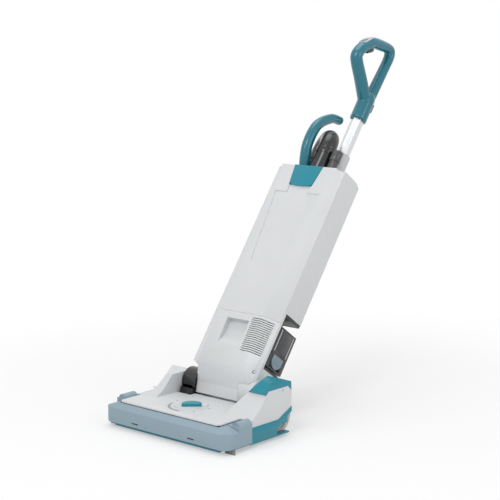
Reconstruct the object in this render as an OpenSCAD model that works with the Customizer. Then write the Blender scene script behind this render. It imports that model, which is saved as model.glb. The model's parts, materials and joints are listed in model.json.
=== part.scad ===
// Cordless commercial upright vacuum cleaner, standing on the floor with its body leaned back.
// Millimetres. X is across the head, the head's bumper faces -Y, Z is up, the floor is z = 0.
// The head is drawn square to the floor. The body is drawn along its own axis, with its zero
// at the pivot, and is then leaned back by "recline".

/* [Layout] */
// Lean of the body from upright, as photographed
recline = 36; // [0:1:75]
// Distance of the pivot from the bumper's front face
pivot_y = 190; // [180:1:196]
// Height of the pivot
pivot_z = 76; // [74:1:82]
// Running gap between parts that move past each other
gap = 0.4; // [0.3:0.05:0.6]
// Gap between a pin and its bore, on the radius
fit = 0.06; // [0.03:0.01:0.1]
// Wall of the plastic mouldings
wall = 3; // [2:0.5:4]

/* [Head] */
// Width over the bumper
head_w = 350; // [340:1:370]
// Depth from the bumper to the rear of the side housings
head_d = 206; // [200:1:215]
// Height of the top deck
deck_z = 57; // [55:1:60]
// Rear edge of the deck between the side housings
deck_rear = 146; // [140:1:148]
// Underside of the chassis floor
floor_z = 6; // [5:0.5:8]
// Outer face of the side housings from the middle
side_x = 172; // [168:1:174]
// Inner face of the side housings from the middle
inner_x = 100; // [99:1:106]
// Top of the white side housings
side_z = 107; // [100:1:112]
// Height of the left housing, which has no cap
left_z = 98; // [94:1:104]
// Height of the coloured caps on the side housings
cap_h = 20; // [14:1:26]
// Lower edge of the coloured stripe along the sides
stripe_z = 25; // [20:1:30]
// Width of that stripe
stripe_h = 17; // [12:1:20]

/* [Bumper] */
// Thickness of the bumper
bumper_t = 9; // [7:0.5:9.5]
// Lower edge of the bumper
bumper_z = 11; // [9:1:14]
// Top of its upright face
bumper_face_z = 43; // [38:1:46]
// How far the sides reach back
bumper_side = 79; // [70:1:90]
// Radius of its front corners
bumper_r = 22; // [16:1:30]
// Half width of the deck that the bumper frames
frame_x = 142; // [136:1:148]
// Front edge of the deck that the bumper frames
frame_y = 15; // [13:1:20]

/* [Brush roller] */
// Centre of the roller behind the bumper
roller_y = 41; // [40:1:43]
// Height of its centre
roller_z = 26; // [25.5:0.5:27]
// Radius over the bristles
bristle_r = 25; // [22:0.5:25]
// Radius of the core
core_r = 14; // [12:0.5:16]
// Half length of the core
roller_half = 131; // [126:1:132]
// Rows of tufts
tuft_rows = 4; // [2:1:6]
// Tufts in each row
tuft_count = 20; // [10:1:24]
// Radius of a tuft
tuft_r = 2.4; // [1.5:0.1:3]
// Radius of the roller's end pins
roller_pin_r = 4; // [3:0.5:5]

/* [Brush drive] */
// Radius of the brush motor
brush_motor_r = 20; // [16:1:20]
// Centre of the brush motor behind the bumper
brush_motor_y = 122; // [120:1:124]
// Length of the brush motor
brush_motor_l = 100; // [80:1:110]
// Radius of the motor's pulley
pulley_r = 8; // [6:0.5:10]
// Radius of the roller's pulley
roller_pulley_r = 14; // [12:0.5:16]
// Width of the belt
belt_w = 8; // [6:1:9]
// Thickness of the belt
belt_t = 1.6; // [1.2:0.1:2]

/* [Head wheels] */
// Radius of the rear wheels
wheel_r = 40; // [38:1:41]
// Width of the rear wheels
wheel_w = 24; // [18:1:26]
// Outer face of the rear wheels from the middle
wheel_x = 150; // [146:1:152]
// Radius of the rear axles
axle_r = 4; // [3:0.5:5]
// Radius of the front wheels
front_wheel_r = 12; // [11:0.5:12.5]
// Width of the front wheels
front_wheel_w = 14; // [10:1:16]
// Distance of the front wheels from the middle
front_wheel_x = 55; // [50:1:60]
// Centre of the front wheels behind the bumper
front_wheel_y = 86; // [84:1:88]
// Radius of the front axle
front_axle_r = 2.5; // [2:0.5:3]

/* [Height dial] */
// Centre of the dial behind the bumper
dial_y = 80; // [78:1:82]
// Radius of the dial's disc
dial_r = 39; // [32:1:42]
// Radius of the dial's turning plate
dial_plate_r = 31; // [26:1:33]
// Height of the dial's knob above the deck
dial_h = 9; // [7:1:12]

/* [Body] */
// Width of the body
body_w = 190; // [186:1:191]
// Front of the body at the door's lower edge, in front of the pivot
front_low = 48; // [46:1:50]
// Front of the body at its top
front_top = 37; // [35:1:40]
// Rear of the body behind the pivot
body_back = 49; // [47:1:52]
// Seam between the front covers and the rear shell, in front of the pivot
seam_q = 23; // [22:1:24]
// Level of the joint between the lower cover and the bag door
door_h = 157; // [154:1:160]
// Top of the body
top_h = 534; // [524:1:544]
// Lower front edge of the body below the pivot
nose_h = 28; // [26:1:30]
// Half width of the body's lower end
nose_x = 62; // [60:1:64]

/* [Louvres and recess] */
// Number of louvre slots
louvre_count = 17; // [10:1:18]
// Height of a slot
louvre_slot = 2; // [1.5:0.1:2.4]
// Distance between slots
louvre_pitch = 4.7; // [4.4:0.1:5]
// Level of the lowest slot
louvre_low = 73; // [68:1:74]
// Inner ends of the slots
louvre_x = 37; // [36:1:42]
// Half width of the finger recess
recess_half = 31; // [28:1:32]
// Top of the finger recess
recess_top = 141; // [138:1:144]
// Bottom of the finger recess
recess_low = 78; // [74:1:84]
// Depth of the finger recess
recess_deep = 15; // [10:1:15]

/* [Bag door] */
// Half width of the latch at its top
latch_half = 40; // [36:1:44]
// Half width of the latch at its lower edge
latch_low_half = 32; // [28:1:35]
// Height of the latch
latch_h = 51; // [46:1:54]
// Depth of the shaped panel on the door
panel_deep = 1.6; // [1:0.2:2]
// Lower edge of the shaped panel
panel_low = 284; // [270:1:300]

/* [Batteries and bays] */
// Lower edge of the bays
bay_low = 52; // [50:1:54]
// Upper edge of the bays
bay_high = 182; // [178:1:184]
// Height of a pack
pack_h = 92; // [86:1:96]
// Width of a pack
pack_w = 61; // [58:1:62]
// Depth of a pack
pack_d = 46; // [42:1:47]
// Height of the pack's release button
pack_button_h = 29; // [24:1:32]

/* [Suction motor and filters] */
// Radius of the motor's can
motor_r = 26; // [22:0.5:26.5]
// Distance of the motor from the middle, to the right
motor_x = 11; // [10:0.5:12]
// Length of the motor's can
motor_l = 84; // [74:1:88]
// Radius of the fan
fan_r = 22; // [18:0.5:22.5]
// Thickness of the filter above the motor
filter_h = 14; // [10:1:16]

/* [Hose and elbow] */
// Outer radius of the hose's ribs
hose_r = 20; // [18:1:21]
// Bore radius of the hose
hose_bore = 16.5; // [14:0.5:17]
// Number of ribs
rib_count = 64; // [40:1:90]
// Radius of the moulded elbow
elbow_r = 21; // [19:0.5:22]
// Distance of the hose from the middle, to the left
hose_x = 45; // [44:1:47]
// Distance of the hose behind the pivot
hose_q = 31; // [30:1:33]
// Distance of the inlet from the middle, to the right
inlet_x = 6; // [5:1:7]
// Distance of the inlet in front of the pivot
inlet_q = 11; // [10:1:13]
// Height of the elbow's legs
elbow_h = 598; // [590:1:604]

/* [Tool tube] */
// Radius of the tool tube
tool_r = 10.5; // [9:0.5:11]
// Distance of the tool tube from the middle
tool_x = 42; // [41:1:45]
// Length of the tool tube
tool_l = 190; // [150:1:220]
// Top of the tool tube
tool_top = 588; // [580:1:594]

/* [Carry handle] */
// Radius of the bar
hook_r = 12.5; // [11:0.5:14]
// Distance of the bar from the middle, to the left
hook_x = 29; // [28:1:31]

/* [Telescopic pole] */
// Width of the pole across its flats
pole_flats = 27; // [24:0.5:28]
// Wall of the pole
pole_wall = 1.5; // [1:0.1:2.5]
// Distance of the pole behind the pivot
pole_q = 54; // [53:1:56]
// Lower end of the pole
pole_low = 400; // [390:1:410]
// Top of the sleeve that guides the pole
sleeve_top = 617; // [606:1:626]
// Radius of the sleeve
sleeve_r = 19; // [18.5:0.5:20]

/* [Grip] */
// Lower end of the grip
grip_low = 714; // [708:1:722]
// Radius of the bar held by the hand
grip_r = 15; // [13:0.5:16]
// Radius of the grip's collar on the pole
collar_r = 20; // [19:0.5:22]

/* [Hidden] */
$fn = 48;
e = 0.01;
axle_y = pivot_y;
axle_z = wheel_r;
hw = body_w / 2;
chamfer_a = 35.5;
chamfer_d = 73.8 + (body_w - 190) / 2 * sin(chamfer_a);
grip_back = 83;
grip_top = 912;
shift_y = (pivot_y + grip_top * sin(recline) + grip_back * cos(recline)) / 2 - 5.5;
spine_x = sleeve_r + 3.5;
back_y = head_d;

// used by unit
bar_sides = 16;
corner_steps = 5;
web_t = 22;
lip_deep = 15;
slope_z = 77;
// used by base plan

ear_t = 6;
ear_x = inner_x + wall + 0.2;
floor_t = 3;
chamber_front = roller_y - bristle_r - 2.5;
chamber_back = roller_y + bristle_r + 2.5;
chamber_half = roller_half + 3;
well_in = wheel_x - wheel_w - 4;
well_out = wheel_x + 4;
duct_in = nose_x + 1;
duct_out = inner_x - 2;
drum_r = 30;
lip_y = bumper_t + 0.5;
chassis_x = head_w / 2 - bumper_t - 0.2;
heel_y = back_y - 15;
// used by base plate
bush_r = 9.5;
ear_r = head_d - wall - pivot_y - 0.4;
cap_bore = 9;
motor_mid = 30;
motor_z = floor_z + floor_t + 4 + brush_motor_r;
duct_z = floor_z + floor_t + 1;
duct_h = 32;
// used by bumper
dial_shaft_r = 6;
pin_r = 7;
pedal_x = ear_x + ear_t + gap;
pedal_z = wheel_r + axle_z + 8;
pedal_w = 40;
screw_y = back_y - 28;
// used by motor pulley
shaft_r = 3;
belt_x = chamber_half + wall + 2.5;
// used by front carriage
carriage_top = 22;
dial_drop = deck_z - carriage_top - gap;
// used by rear shell
chan_x0 = hose_x + hose_r + 3;
chan_x1 = hose_x - hose_r - 2;
chan_q = hose_q - hose_r - 3;
bay_x = hw - pack_d - 4.8;
bag_floor = bay_high + 4;
// used by top plate
tool_q = -12;
motor_q = 8;
motor_low = 66;
// used by lower cover
cuff_r = 21;
hook_q = 17;
// used by front cut
lean = atan((front_low - front_top) / (top_h - door_h));
// used by duct body
duct_x0 = -bay_x + wall + 0.4;
duct_x1 = motor_x - motor_r - 4;
// used by rib pts
hose_low = bag_floor + 20;
hose_high = elbow_h - 10;
rib_p = (hose_high - hose_low - 16) / rib_count;
// used by hose elbow
bend_d = norm([inlet_x + hose_x, hose_q + inlet_q]);
bend_a = atan2(hose_q + inlet_q, -inlet_x - hose_x);
// used by pack
pack_q = -seam_q + wall + 5;
pack_low = bay_low + 10;
// used by bag collar
bag_low = bag_floor + filter_h + 2;
bag_deep = chan_q - wall + seam_q + 3.6;
// used by grip form
neck_h = grip_low + 60;
rear_pts = [[64, grip_low + 178], [66, grip_low + 150], [pole_q + 8, neck_h - 4]];
loop_pts = [[pole_q - 4, neck_h - 10], [-39, grip_low + 114], [-33, grip_low + 143], [-8, grip_low + 177],
    [56, grip_low + 206], [66, grip_low + 168]];
// used by panel place
panel_mid = [0, (loop_pts[2][0] + loop_pts[3][0]) / 2, (loop_pts[2][1] + loop_pts[3][1]) / 2];
panel_a = atan2(loop_pts[3][1] - loop_pts[2][1], loop_pts[3][0] - loop_pts[2][0]);
// used by grip half
panel_w = 20;
panel_l = 34;
panel_z = 11.2;
button_l = 13;
button_w = 13;
lock_w = 18;
lock_l = 22;
lock_h = grip_low + 36;
lock_floor = pole_q + pole_flats / 2 / cos(30) + 1;

// ---------- frames and shared shapes ----------
module in_head() {
    translate([0, -shift_y, 0]) children();
}

module in_body() {
    translate([0, pivot_y - shift_y, pivot_z]) rotate([-recline, 0, 0]) children();
}

// A side outline, drawn in y and z, given its width along x
module along_x(x0, x1, pts) {
    translate([x0, 0, 0]) rotate([90, 0, 90]) linear_extrude(x1 - x0) polygon(pts);
}

// A round bar along x
module rod_x(x0, x1, r, y, z) {
    translate([x0, y, z]) rotate([0, 90, 0]) cylinder(h = x1 - x0, r = r);
}

module both_sides() {
    children();
    mirror([1, 0, 0]) children();
}

// A bar swept in the plane x = 0 through corner points in y and z, each corner rounded by br.
// Half width rx across the plane, rn in the plane, with the last ring's rn set by r_end.
function unit(a, b) = (b - a) / norm(b - a);
function turn(p, i) = let (u = unit(p[i - 1], p[i]), v = unit(p[i], p[i + 1]))
    atan2(u[0] * v[1] - u[1] * v[0], u * v);
function corner(p, i, br) = let (u = unit(p[i - 1], p[i]), w = turn(p, i), s = sign(w),
    t = br * tan(abs(w) / 2),
    c = p[i] - u * t + s * br * [-u[1], u[0]], a0 = atan2(-s * u[0], s * u[1]))
    abs(w) < 10 ? [p[i]] : [for (k = [0 : corner_steps]) c + br * [cos(a0 + w * k / corner_steps),
        sin(a0 + w * k / corner_steps)]];
function round_path(p, br) = concat([p[0]], [for (i = [1 : len(p) - 2]) each corner(p, i, br)],
    [p[len(p) - 1]]);
function side(c, j) = let (u = unit(c[max(j - 1, 0)], c[min(j + 1, len(c) - 1)])) [-u[1], u[0]];
module swept_bar(p, rx, rn, br, r_end) {
    c = round_path(p, br);
    n = len(c);
    m = bar_sides;
    polyhedron([for (j = [0 : n - 1]) for (i = [0 : m - 1]) let (a = 360 * (i + 0.5) / m, d = side(c, j),
        r = j == n - 1 ? r_end : rn)
            [rx * cos(a), c[j][0] + d[0] * r * sin(a), c[j][1] + d[1] * r * sin(a)]],
        concat([[for (i = [m - 1 : -1 : 0]) i]], [[for (i = [0 : m - 1]) (n - 1) * m + i]],
            [for (j = [0 : n - 2]) for (i = [0 : m - 1]) [j * m + i, j * m + (i + 1) % m, (j + 1) * m + i]],
            [for (j = [0 : n - 2]) for (i = [0 : m - 1]) [j * m + (i + 1) % m, (j + 1) * m + (i + 1) % m,
                (j + 1) * m + i]]));
}

// Plan with rounded front corners
module front_round(half, y0, y1, r) {
    translate([-half, y0 + r]) square([2 * half, y1 - y0 - r]);
    translate([-half + r, y0]) square([2 * half - 2 * r, r + e]);
    for (s = [-1, 1]) translate([s * (half - r), y0 + r]) circle(r = r);
}

// ---------- head ----------

module base_plan() {
    polygon([[-chassis_x, 34], [-chassis_x + 16, lip_y], [chassis_x - 16, lip_y],
        [chassis_x, 34], [chassis_x, bumper_side + 2], [side_x - wall - 0.2, bumper_side + 2],
        [side_x - wall - 0.2, back_y - wall - 0.2], [-side_x + wall + 0.2, back_y - wall - 0.2],
        [-side_x + wall + 0.2, bumper_side + 2], [-chassis_x, bumper_side + 2]]);
}

module pivot_ear() {
    translate([ear_x, pivot_y - 17, floor_z]) cube([ear_t, 17 + ear_r, pivot_z - floor_z]);
    rod_x(ear_x, ear_x + ear_t, ear_r, pivot_y, pivot_z);
}

module head_base() color("#0a8a9c") in_head() difference() {
    union() {
        translate([0, 0, floor_z]) linear_extrude(floor_t) base_plan();
        // lip under the bumper
        translate([-chassis_x + 16, lip_y, 3]) cube([2 * chassis_x - 32, chamber_front - 2.2 - lip_y,
            floor_z]);
        // roller chamber
        translate([-chamber_half - wall, chamber_front - wall, floor_z])
            cube([2 * (chamber_half + wall), wall, 40]);
        translate([-chamber_half - wall, chamber_back, floor_z])
            cube([2 * (chamber_half + wall), wall, deck_z - wall - floor_z - 0.2]);
        both_sides() translate([chamber_half, chamber_front - wall, floor_z])
            cube([wall, chamber_back - chamber_front + 2 * wall, 36]);
        // rear wall under the deck
        translate([-inner_x, deck_rear - 2 * wall, floor_z]) cube([2 * inner_x, wall, 24]);
        // stripe along each side
        both_sides() along_x(side_x - wall - 0.2, side_x + 1, [[bumper_side + 1, stripe_z],
            [back_y - 42, stripe_z], [back_y, stripe_z + 27], [back_y, stripe_z + stripe_h + 20],
            [back_y - 43, stripe_z + stripe_h], [bumper_side + 1, stripe_z + stripe_h]]);
        both_sides() translate([side_x - wall - 3, bumper_side + 3, floor_z])
            cube([3, back_y - bumper_side - 45, stripe_z + 10 - floor_z]);
        // solid ends beside the chamber, the right one clear of the belt
        translate([4 - chassis_x, chamber_front + 2, floor_z + floor_t + 2])
            cube([chassis_x - roller_half - 14, chamber_back - chamber_front - 2, 31]);
        translate([belt_x + belt_w + 3, chamber_front + 2, floor_z + floor_t + 2])
            cube([chassis_x - 4 - belt_x - belt_w - 3, chamber_back - chamber_front - 2, 31]);
        both_sides() translate([well_in - 3, chamber_front + 16, floor_z])
            cube([40, chamber_back - chamber_front - 16, floor_t + 3]);
        // heels behind the wheels
        both_sides() translate([inner_x - 10, heel_y, 0.3])
            cube([well_in - inner_x + 8, back_y - heel_y, floor_z]);
        both_sides() pivot_ear();
        // outer bearing wall of the rear axles
        both_sides() translate([well_out, axle_y - 10, axle_z - 10])
            cube([side_x - well_out - 1, 15, 20]);
        // supports of the brush motor
        for (x = [-1, 1]) translate([x * (brush_motor_l / 2 - 12) - 5 + motor_mid, brush_motor_y - 14,
            floor_z])
            cube([10, 28, 12]);
    }
    // suction mouth
    translate([-chamber_half, chamber_front, 0]) cube([2 * chamber_half, chamber_back - chamber_front,
        floor_z + 4]);
    // wheel wells
    both_sides() translate([well_in, axle_y - wheel_r - 4, -1]) cube([well_out - well_in, 100, 90]);
    // bores
    both_sides() rod_x(ear_x - 1, ear_x + ear_t + 1, bush_r, pivot_y, pivot_z);
    both_sides() rod_x(ear_x - 1, side_x - 8, axle_r + 0.02, axle_y, axle_z);
    rod_x(-chamber_half - wall - 1, chamber_half + wall + 1, cap_bore, roller_y, roller_z);
    rod_x(-chamber_half + 1, chamber_half - 1, bristle_r + 2.4, roller_y, roller_z);
    rod_x(motor_mid - brush_motor_l, motor_mid + brush_motor_l, brush_motor_r + 0.1, brush_motor_y, motor_z);
    // trough under the belt
    translate([belt_x - 0.5, chamber_front, floor_z + floor_t])
        cube([belt_w + 1.5, brush_motor_y + 20 - chamber_front, 12]);
    // slots of the edge brushes
    both_sides() translate([chassis_x - 14.2, 21.8, 0]) cube([30, 3.4, bumper_z]);
    // duct opening
    translate([-duct_out - 0.2, chamber_back - 1, duct_z])
        cube([duct_out - duct_in + 0.4, wall + 2, duct_h + 0.2]);
    translate([-duct_out - 1, deck_rear - 2 * wall - 1, duct_z - 1])
        cube([duct_out - duct_in + 2, wall + 2, duct_h + 12]);
    front_wheel_slots();
}
// Slots under the front wheels and their axle
module front_wheel_slots() {
    for (s = [-1, 1]) translate([s * front_wheel_x - front_wheel_w / 2 - 3, front_wheel_y - 16, -1])
        cube([front_wheel_w + 6, 32, 20]);
    translate([-front_wheel_x - 6, front_wheel_y - 5, -1])
        cube([2 * front_wheel_x + 12, 10, floor_z + floor_t + 2]);
}

module base_plate() color("#9aa0a4") in_head() difference() {
    translate([0, 0, floor_z - 2.5]) linear_extrude(2.5) polygon([[-chassis_x + 18, chamber_front - 2],
        [chassis_x - 18, chamber_front - 2], [chassis_x - 18, deck_rear - 4], [well_in - 6, deck_rear - 4],
        [well_in - 6, heel_y - 3], [6 - well_in, heel_y - 3], [6 - well_in, deck_rear - 4],
            [18 - chassis_x, deck_rear - 4]]);
    translate([-chamber_half, chamber_front + 1, 0])
        cube([2 * chamber_half, chamber_back - chamber_front - 2, 20]);
    front_wheel_slots();
}

// Outline of a side housing seen from the side, set in by t
function housing(t, top, knee) = [[bumper_side + 1 + t, stripe_z + stripe_h + (t > 0 ? -30 : 0.3)],
    [bumper_side + 1 + t, deck_z - t], [bumper_side + 4 + t, deck_z - t],
        [bumper_side + 27 + t, top - knee - t],
    [bumper_side + 46 + t, top - knee / 4 - t], [bumper_side + 54, top - t], [back_y - 12, top - t],
    [back_y - t, top - 11 - t], [back_y - t, stripe_z + stripe_h + (t > 0 ? -30 : 20.3)],
    [back_y - 43, stripe_z + stripe_h + (t > 0 ? -30 : 0.3)]];

// all that lies under a plane through p that rises by a along x and by b along y
module below_plane(p, a, b) {
    translate(p) rotate(a = atan(norm([a, b])), v = [b, -a, 0]) translate([-400, -400, -400])
        cube([800, 800, 400]);
}

// the top of the right housing falls towards the body
module right_slope(t) {
    below_plane([inner_x, brush_motor_y + 3, slope_z - t * norm([1, 0.95, 0.35])], 0.95, 0.35);
}

module right_housing(t) {
    intersection() {
        along_x(inner_x + t, side_x - t, housing(t, side_z, 32));
        right_slope(t);
    }
}

// the left housing only rises over its wheel, beside a low deck with a sloping edge
module left_housing(t) {
    intersection() {
        along_x(t - side_x, -inner_x - t, housing(t, left_z, 28));
        union() {
            below_plane([-inner_x, brush_motor_y - 2, left_z + 6 - t * norm([1, 1.1, 0.8])], 1.1, 0.8);
            below_plane([20 - side_x, 0, deck_z - t * norm([1, 0.4])], 0.4, 0);
        }
        translate([-200, 0, 0]) cube([200, 300, left_z + 1]);
    }
}

module head_cover() color("#dcdee0") in_head() difference() {
    union() {
        // deck
        translate([0, 0, deck_z - wall]) linear_extrude(wall)
            front_round(frame_x - 0.3, frame_y + 0.3, deck_rear, 10);
        translate([0, 0, deck_z - wall]) linear_extrude(wall) translate([-side_x, bumper_side + 1])
            square([2 * side_x, deck_rear - bumper_side - 1]);
        // rear wall of the deck
        translate([-inner_x - wall, deck_rear - wall, 34]) cube([2 * inner_x + 2 * wall, wall, deck_z - 34]);
        // side housings
        difference() {
            right_housing(0);
            right_housing(wall);
        }
        difference() {
            left_housing(0);
            left_housing(wall);
        }
        // lip that runs in under the foot of the body
        translate([2 - nose_x, deck_rear - 1, deck_z - wall])
            cube([inner_x + wall / 2 + nose_x - 2, lip_deep + 1, wall]);
    }
    // seat of the dial
    translate([0, dial_y, deck_z - 1.2]) cylinder(h = 5, r = dial_r + 0.1);
    translate([0, dial_y, 0]) cylinder(h = 100, r = dial_shaft_r + 4);
    // wheels and pivots
    translate([well_in, axle_y - wheel_r - 4, -1])
        cube([well_out - well_in, 100, axle_z + wheel_r + 4]);
    rod_x(-well_out, -well_in, wheel_r + 2, axle_y, axle_z);
    translate([-well_out, axle_y - wheel_r - 2, -1]) cube([well_out - well_in, 100, axle_z + 1]);
    // sloping left edge of the deck
    along_y(bumper_side, deck_rear - 0.5, [[-side_x - 1, deck_z - 8], [21 - side_x, deck_z + 0.3],
        [21 - side_x, deck_z + 1], [-side_x - 1, deck_z + 1]]);
    both_sides() rod_x(inner_x - 1, inner_x + wall + 1, pin_r + 2, pivot_y, pivot_z);
    // way of the belt, under the deck
    both_sides() translate([inner_x + wall, bumper_side, 0])
        cube([side_x - inner_x - 2 * wall, 12, deck_z - wall]);
    // inner corner left free for the turning body
    both_sides() translate([inner_x - 1, back_y - 46, -1]) cube([wall + 1.2, 60, 35]);
    translate([-duct_out - 1, deck_rear - wall - 1, 0])
        cube([duct_out - duct_in + 2, wall + 2, duct_z + duct_h + 3]);
    // pedal slot in the right housing
    translate([pedal_x - 0.6, back_y - 12, pedal_z - 3]) cube([pedal_w + 1.2, 20, 14]);
    rod_x(side_x - 3.1, side_x + 1, 3, screw_y, side_z - 6);
    
}

module bumper() color("#9fb2c0") in_head() difference() {
    union() {
        translate([0, 0, bumper_z]) linear_extrude(deck_z - 4 - bumper_z)
            front_round(head_w / 2, 0, bumper_side, bumper_r);
        // raised pads at the rear of the sides
        both_sides() translate([head_w / 2 - 12, bumper_side - 36, deck_z - 7]) rotate([-90, 0, 0])
            cylinder(h = 36, r = 11);
    }
    intersection() {
        translate([0, 0, bumper_z - 1]) linear_extrude(deck_z - wall - 4.2 - bumper_z)
            front_round(head_w / 2 - bumper_t, bumper_t, bumper_side + 1, bumper_r - 6);
        along_x(-head_w, head_w, [[-1, 0], [-1, bumper_face_z - 3.5], [frame_y, deck_z - 7.2],
            [200, deck_z - 7.2], [200, 0]]);
        translate([0, 0, -1]) along_y(-1, 200, [[-head_w / 2 - 1, 0], [-head_w / 2, bumper_face_z - 2.5],
            [-frame_x, deck_z - 6.2],
            [frame_x, deck_z - 6.2], [head_w / 2, bumper_face_z - 2.5], [head_w / 2 + 1, 0]]);
    }
    linear_extrude(100) front_round(frame_x, frame_y, bumper_side + 1, 10);
    linear_extrude(100) translate([-frame_x, frame_y]) square([2 * frame_x, 100]);
    along_x(-head_w, head_w, [[-1, bumper_face_z - 1], [0, bumper_face_z], [frame_y, deck_z - 4],
        [frame_y, 99], [-1, 99]]);
    both_sides() translate([head_w / 2, 0, 0]) along_y(-1, bumper_side - 40,
        [[1, bumper_face_z - 1], [0, bumper_face_z], [frame_x - head_w / 2, deck_z - 4],
            [frame_x - head_w / 2, 99], [1, 99]]);
    for (x = [-82, 78]) translate([x - 9, -1, 18]) cube([18, 3.5, 2.5]);
}
module along_y(y0, y1, pts) {
    translate([0, y1, 0]) rotate([90, 0, 0]) linear_extrude(y1 - y0) polygon(pts);
}

module side_cap() color("#0a8a9c") in_head() difference() {
    intersection() {
        along_x(inner_x + 6, side_x, [[bumper_side + 44, side_z - 4], [bumper_side + 62, side_z + cap_h - 3],
        [back_y - 34, side_z + cap_h], [back_y - 1, side_z + cap_h - 12], [back_y, side_z - 10],
        [back_y - 1, side_z - 10], [back_y - 11.5, side_z + 0.2], [bumper_side + 52, side_z + 0.2],
            [bumper_side + 46.5, side_z - 7]]);
        right_slope(0);
    }
    intersection() {
        along_x(inner_x + 9, side_x - 3, [[bumper_side + 50, side_z - 20],
            [bumper_side + 64, side_z + cap_h - 6],
        [back_y - 34, side_z + cap_h - 3], [back_y - 4, side_z + cap_h - 14], [back_y - 4, side_z - 20]]);
        right_slope(wall);
    }
    // open towards the housing
    intersection() {
        translate([inner_x, 0, side_z - 12]) cube([80, 300, 12.2]);
        right_slope(-0.01);
        along_x(inner_x - 1, side_x + 1, housing(-0.2, side_z, 32));
    }
}

module edge_brushes() color("#8c8f90") in_head() both_sides() {
    translate([chassis_x - 14, 22, 0]) cube([26, 3, bumper_z - 0.3]);
    translate([chassis_x - 14, 19, floor_z + floor_t + 0.2]) cube([10, 9, 1.5]);
}

module swivel_duct() color("#1b1c1e") in_head() difference() {
    union() {
        along_x(-duct_out, -duct_in, [[chamber_back + wall - 2, duct_z], [pivot_y + 6, duct_z],
            [pivot_y + 12, duct_z + 6], [pivot_y + 12, pivot_z - drum_r], [pivot_y - 34, pivot_z - 8],
            [pivot_y - 40, duct_z + duct_h], [chamber_back + wall - 2, duct_z + duct_h]]);
    }
    along_x(-duct_out + 2, -duct_in - 2, [[chamber_back - 5, duct_z + 2], [pivot_y + 5, duct_z + 2],
        [pivot_y + 10, duct_z + 7], [pivot_y + 10, pivot_z], [pivot_y - 26, pivot_z],
        [pivot_y - 40, duct_z + duct_h - 2], [chamber_back - 5, duct_z + duct_h - 2]]);
    rod_x(-duct_out - 1, -duct_in + 1, drum_r + gap, pivot_y, pivot_z);
}

module brush_motor() color("#3a3d40") in_head() difference() {
    union() {
        rod_x(motor_mid - brush_motor_l / 2, motor_mid + brush_motor_l / 2, brush_motor_r, brush_motor_y,
            motor_z);
        rod_x(motor_mid + brush_motor_l / 2 - e, motor_mid + brush_motor_l / 2 + 4, 9, brush_motor_y,
            motor_z);
    }
    rod_x(motor_mid - brush_motor_l / 2 + 2, motor_mid + brush_motor_l / 2 - 2, brush_motor_r - 2,
        brush_motor_y, motor_z);
    rod_x(motor_mid, motor_mid + brush_motor_l, shaft_r + fit, brush_motor_y, motor_z);
}

module motor_pulley() color("#b9bdc0") in_head() union() {
    rod_x(motor_mid + brush_motor_l / 2 - 1.7, belt_x + belt_w + 2, shaft_r, brush_motor_y, motor_z);
    rod_x(motor_mid - brush_motor_l / 2 + 8, motor_mid + brush_motor_l / 2 - 10, brush_motor_r - 5,
        brush_motor_y, motor_z);
    rod_x(motor_mid + brush_motor_l / 2 - 10 - e, motor_mid + brush_motor_l / 2 - 1, shaft_r,
        brush_motor_y, motor_z);
    rod_x(belt_x, belt_x + belt_w, pulley_r, brush_motor_y, motor_z);
    rod_x(belt_x - 1, belt_x, pulley_r + 2, brush_motor_y, motor_z);
}

// Belt: an arc round each pulley, joined by two straight runs
function arc(c, r, a0, a1, n) = [for (i = [0 : n]) c + r * [cos(a0 + (a1 - a0) * i / n),
    sin(a0 + (a1 - a0) * i / n)]];
module belt_form(r1, r2) {
    a = [roller_y, roller_z];
    b = [brush_motor_y, motor_z];
    u = atan2(b[1] - a[1], b[0] - a[0]);
    k = 90 - asin((r1 - r2) / norm(b - a));
    polygon(concat(arc(a, r1, u + k, u + 360 - k, 24), arc(b, r2, u - k, u + k, 16)));
}
module drive_belt() color("#151515") in_head() translate([belt_x + 0.5, 0, 0]) rotate([90, 0, 90])
    linear_extrude(belt_w - 1) difference() {
        belt_form(roller_pulley_r + gap + belt_t, pulley_r + gap + belt_t);
        belt_form(roller_pulley_r + gap, pulley_r + gap);
    }

module brush_roller() color("#c7cbce") in_head() difference() {
    union() {
        rod_x(-roller_half, roller_half, core_r - 0.5, roller_y, roller_z);
        rod_x(-roller_half - 8, belt_x + belt_w, roller_pin_r, roller_y, roller_z);
        rod_x(belt_x, belt_x + belt_w, roller_pulley_r, roller_y, roller_z);
    }
    rod_x(-roller_half + 6, roller_half - 6, core_r - 9, roller_y, roller_z);
}

module brush_bristles() color("#2c2d2f") in_head() difference() {
    union() {
        rod_x(-roller_half + 2, roller_half - 2, core_r + 1, roller_y, roller_z);
        for (j = [0 : tuft_rows - 1]) for (i = [0 : tuft_count - 1]) {
            x = (i + 0.5) / tuft_count * 2 - 1;
            translate([x * (roller_half - 6), roller_y, roller_z])
                rotate([j * 360 / tuft_rows + 35 * abs(x), 0, 0])
                    cylinder(h = bristle_r, r = tuft_r, $fn = 6);
        }
    }
    rod_x(-roller_half, roller_half, core_r - 0.45, roller_y, roller_z);
}

module roller_bearings() color("#505458") in_head() both_sides() difference() {
    union() {
        rod_x(chamber_half - 2, chamber_half + wall, cap_bore - 0.1, roller_y, roller_z);
        rod_x(chamber_half - 2, chamber_half - 0.1, cap_bore + 3, roller_y, roller_z);
    }
    rod_x(chamber_half - 3, chamber_half + wall + 1, roller_pin_r + fit, roller_y, roller_z);
}

module dial_ring() color("#e6e8ea") in_head() difference() {
    translate([0, dial_y, deck_z - 1.1]) cylinder(h = 2.4, r = dial_r);
    translate([0, dial_y, deck_z - 0.1]) cylinder(h = 5, r = dial_plate_r + gap);
    translate([0, dial_y, deck_z - 5]) cylinder(h = 9, r = dial_shaft_r + gap);
}

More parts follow.
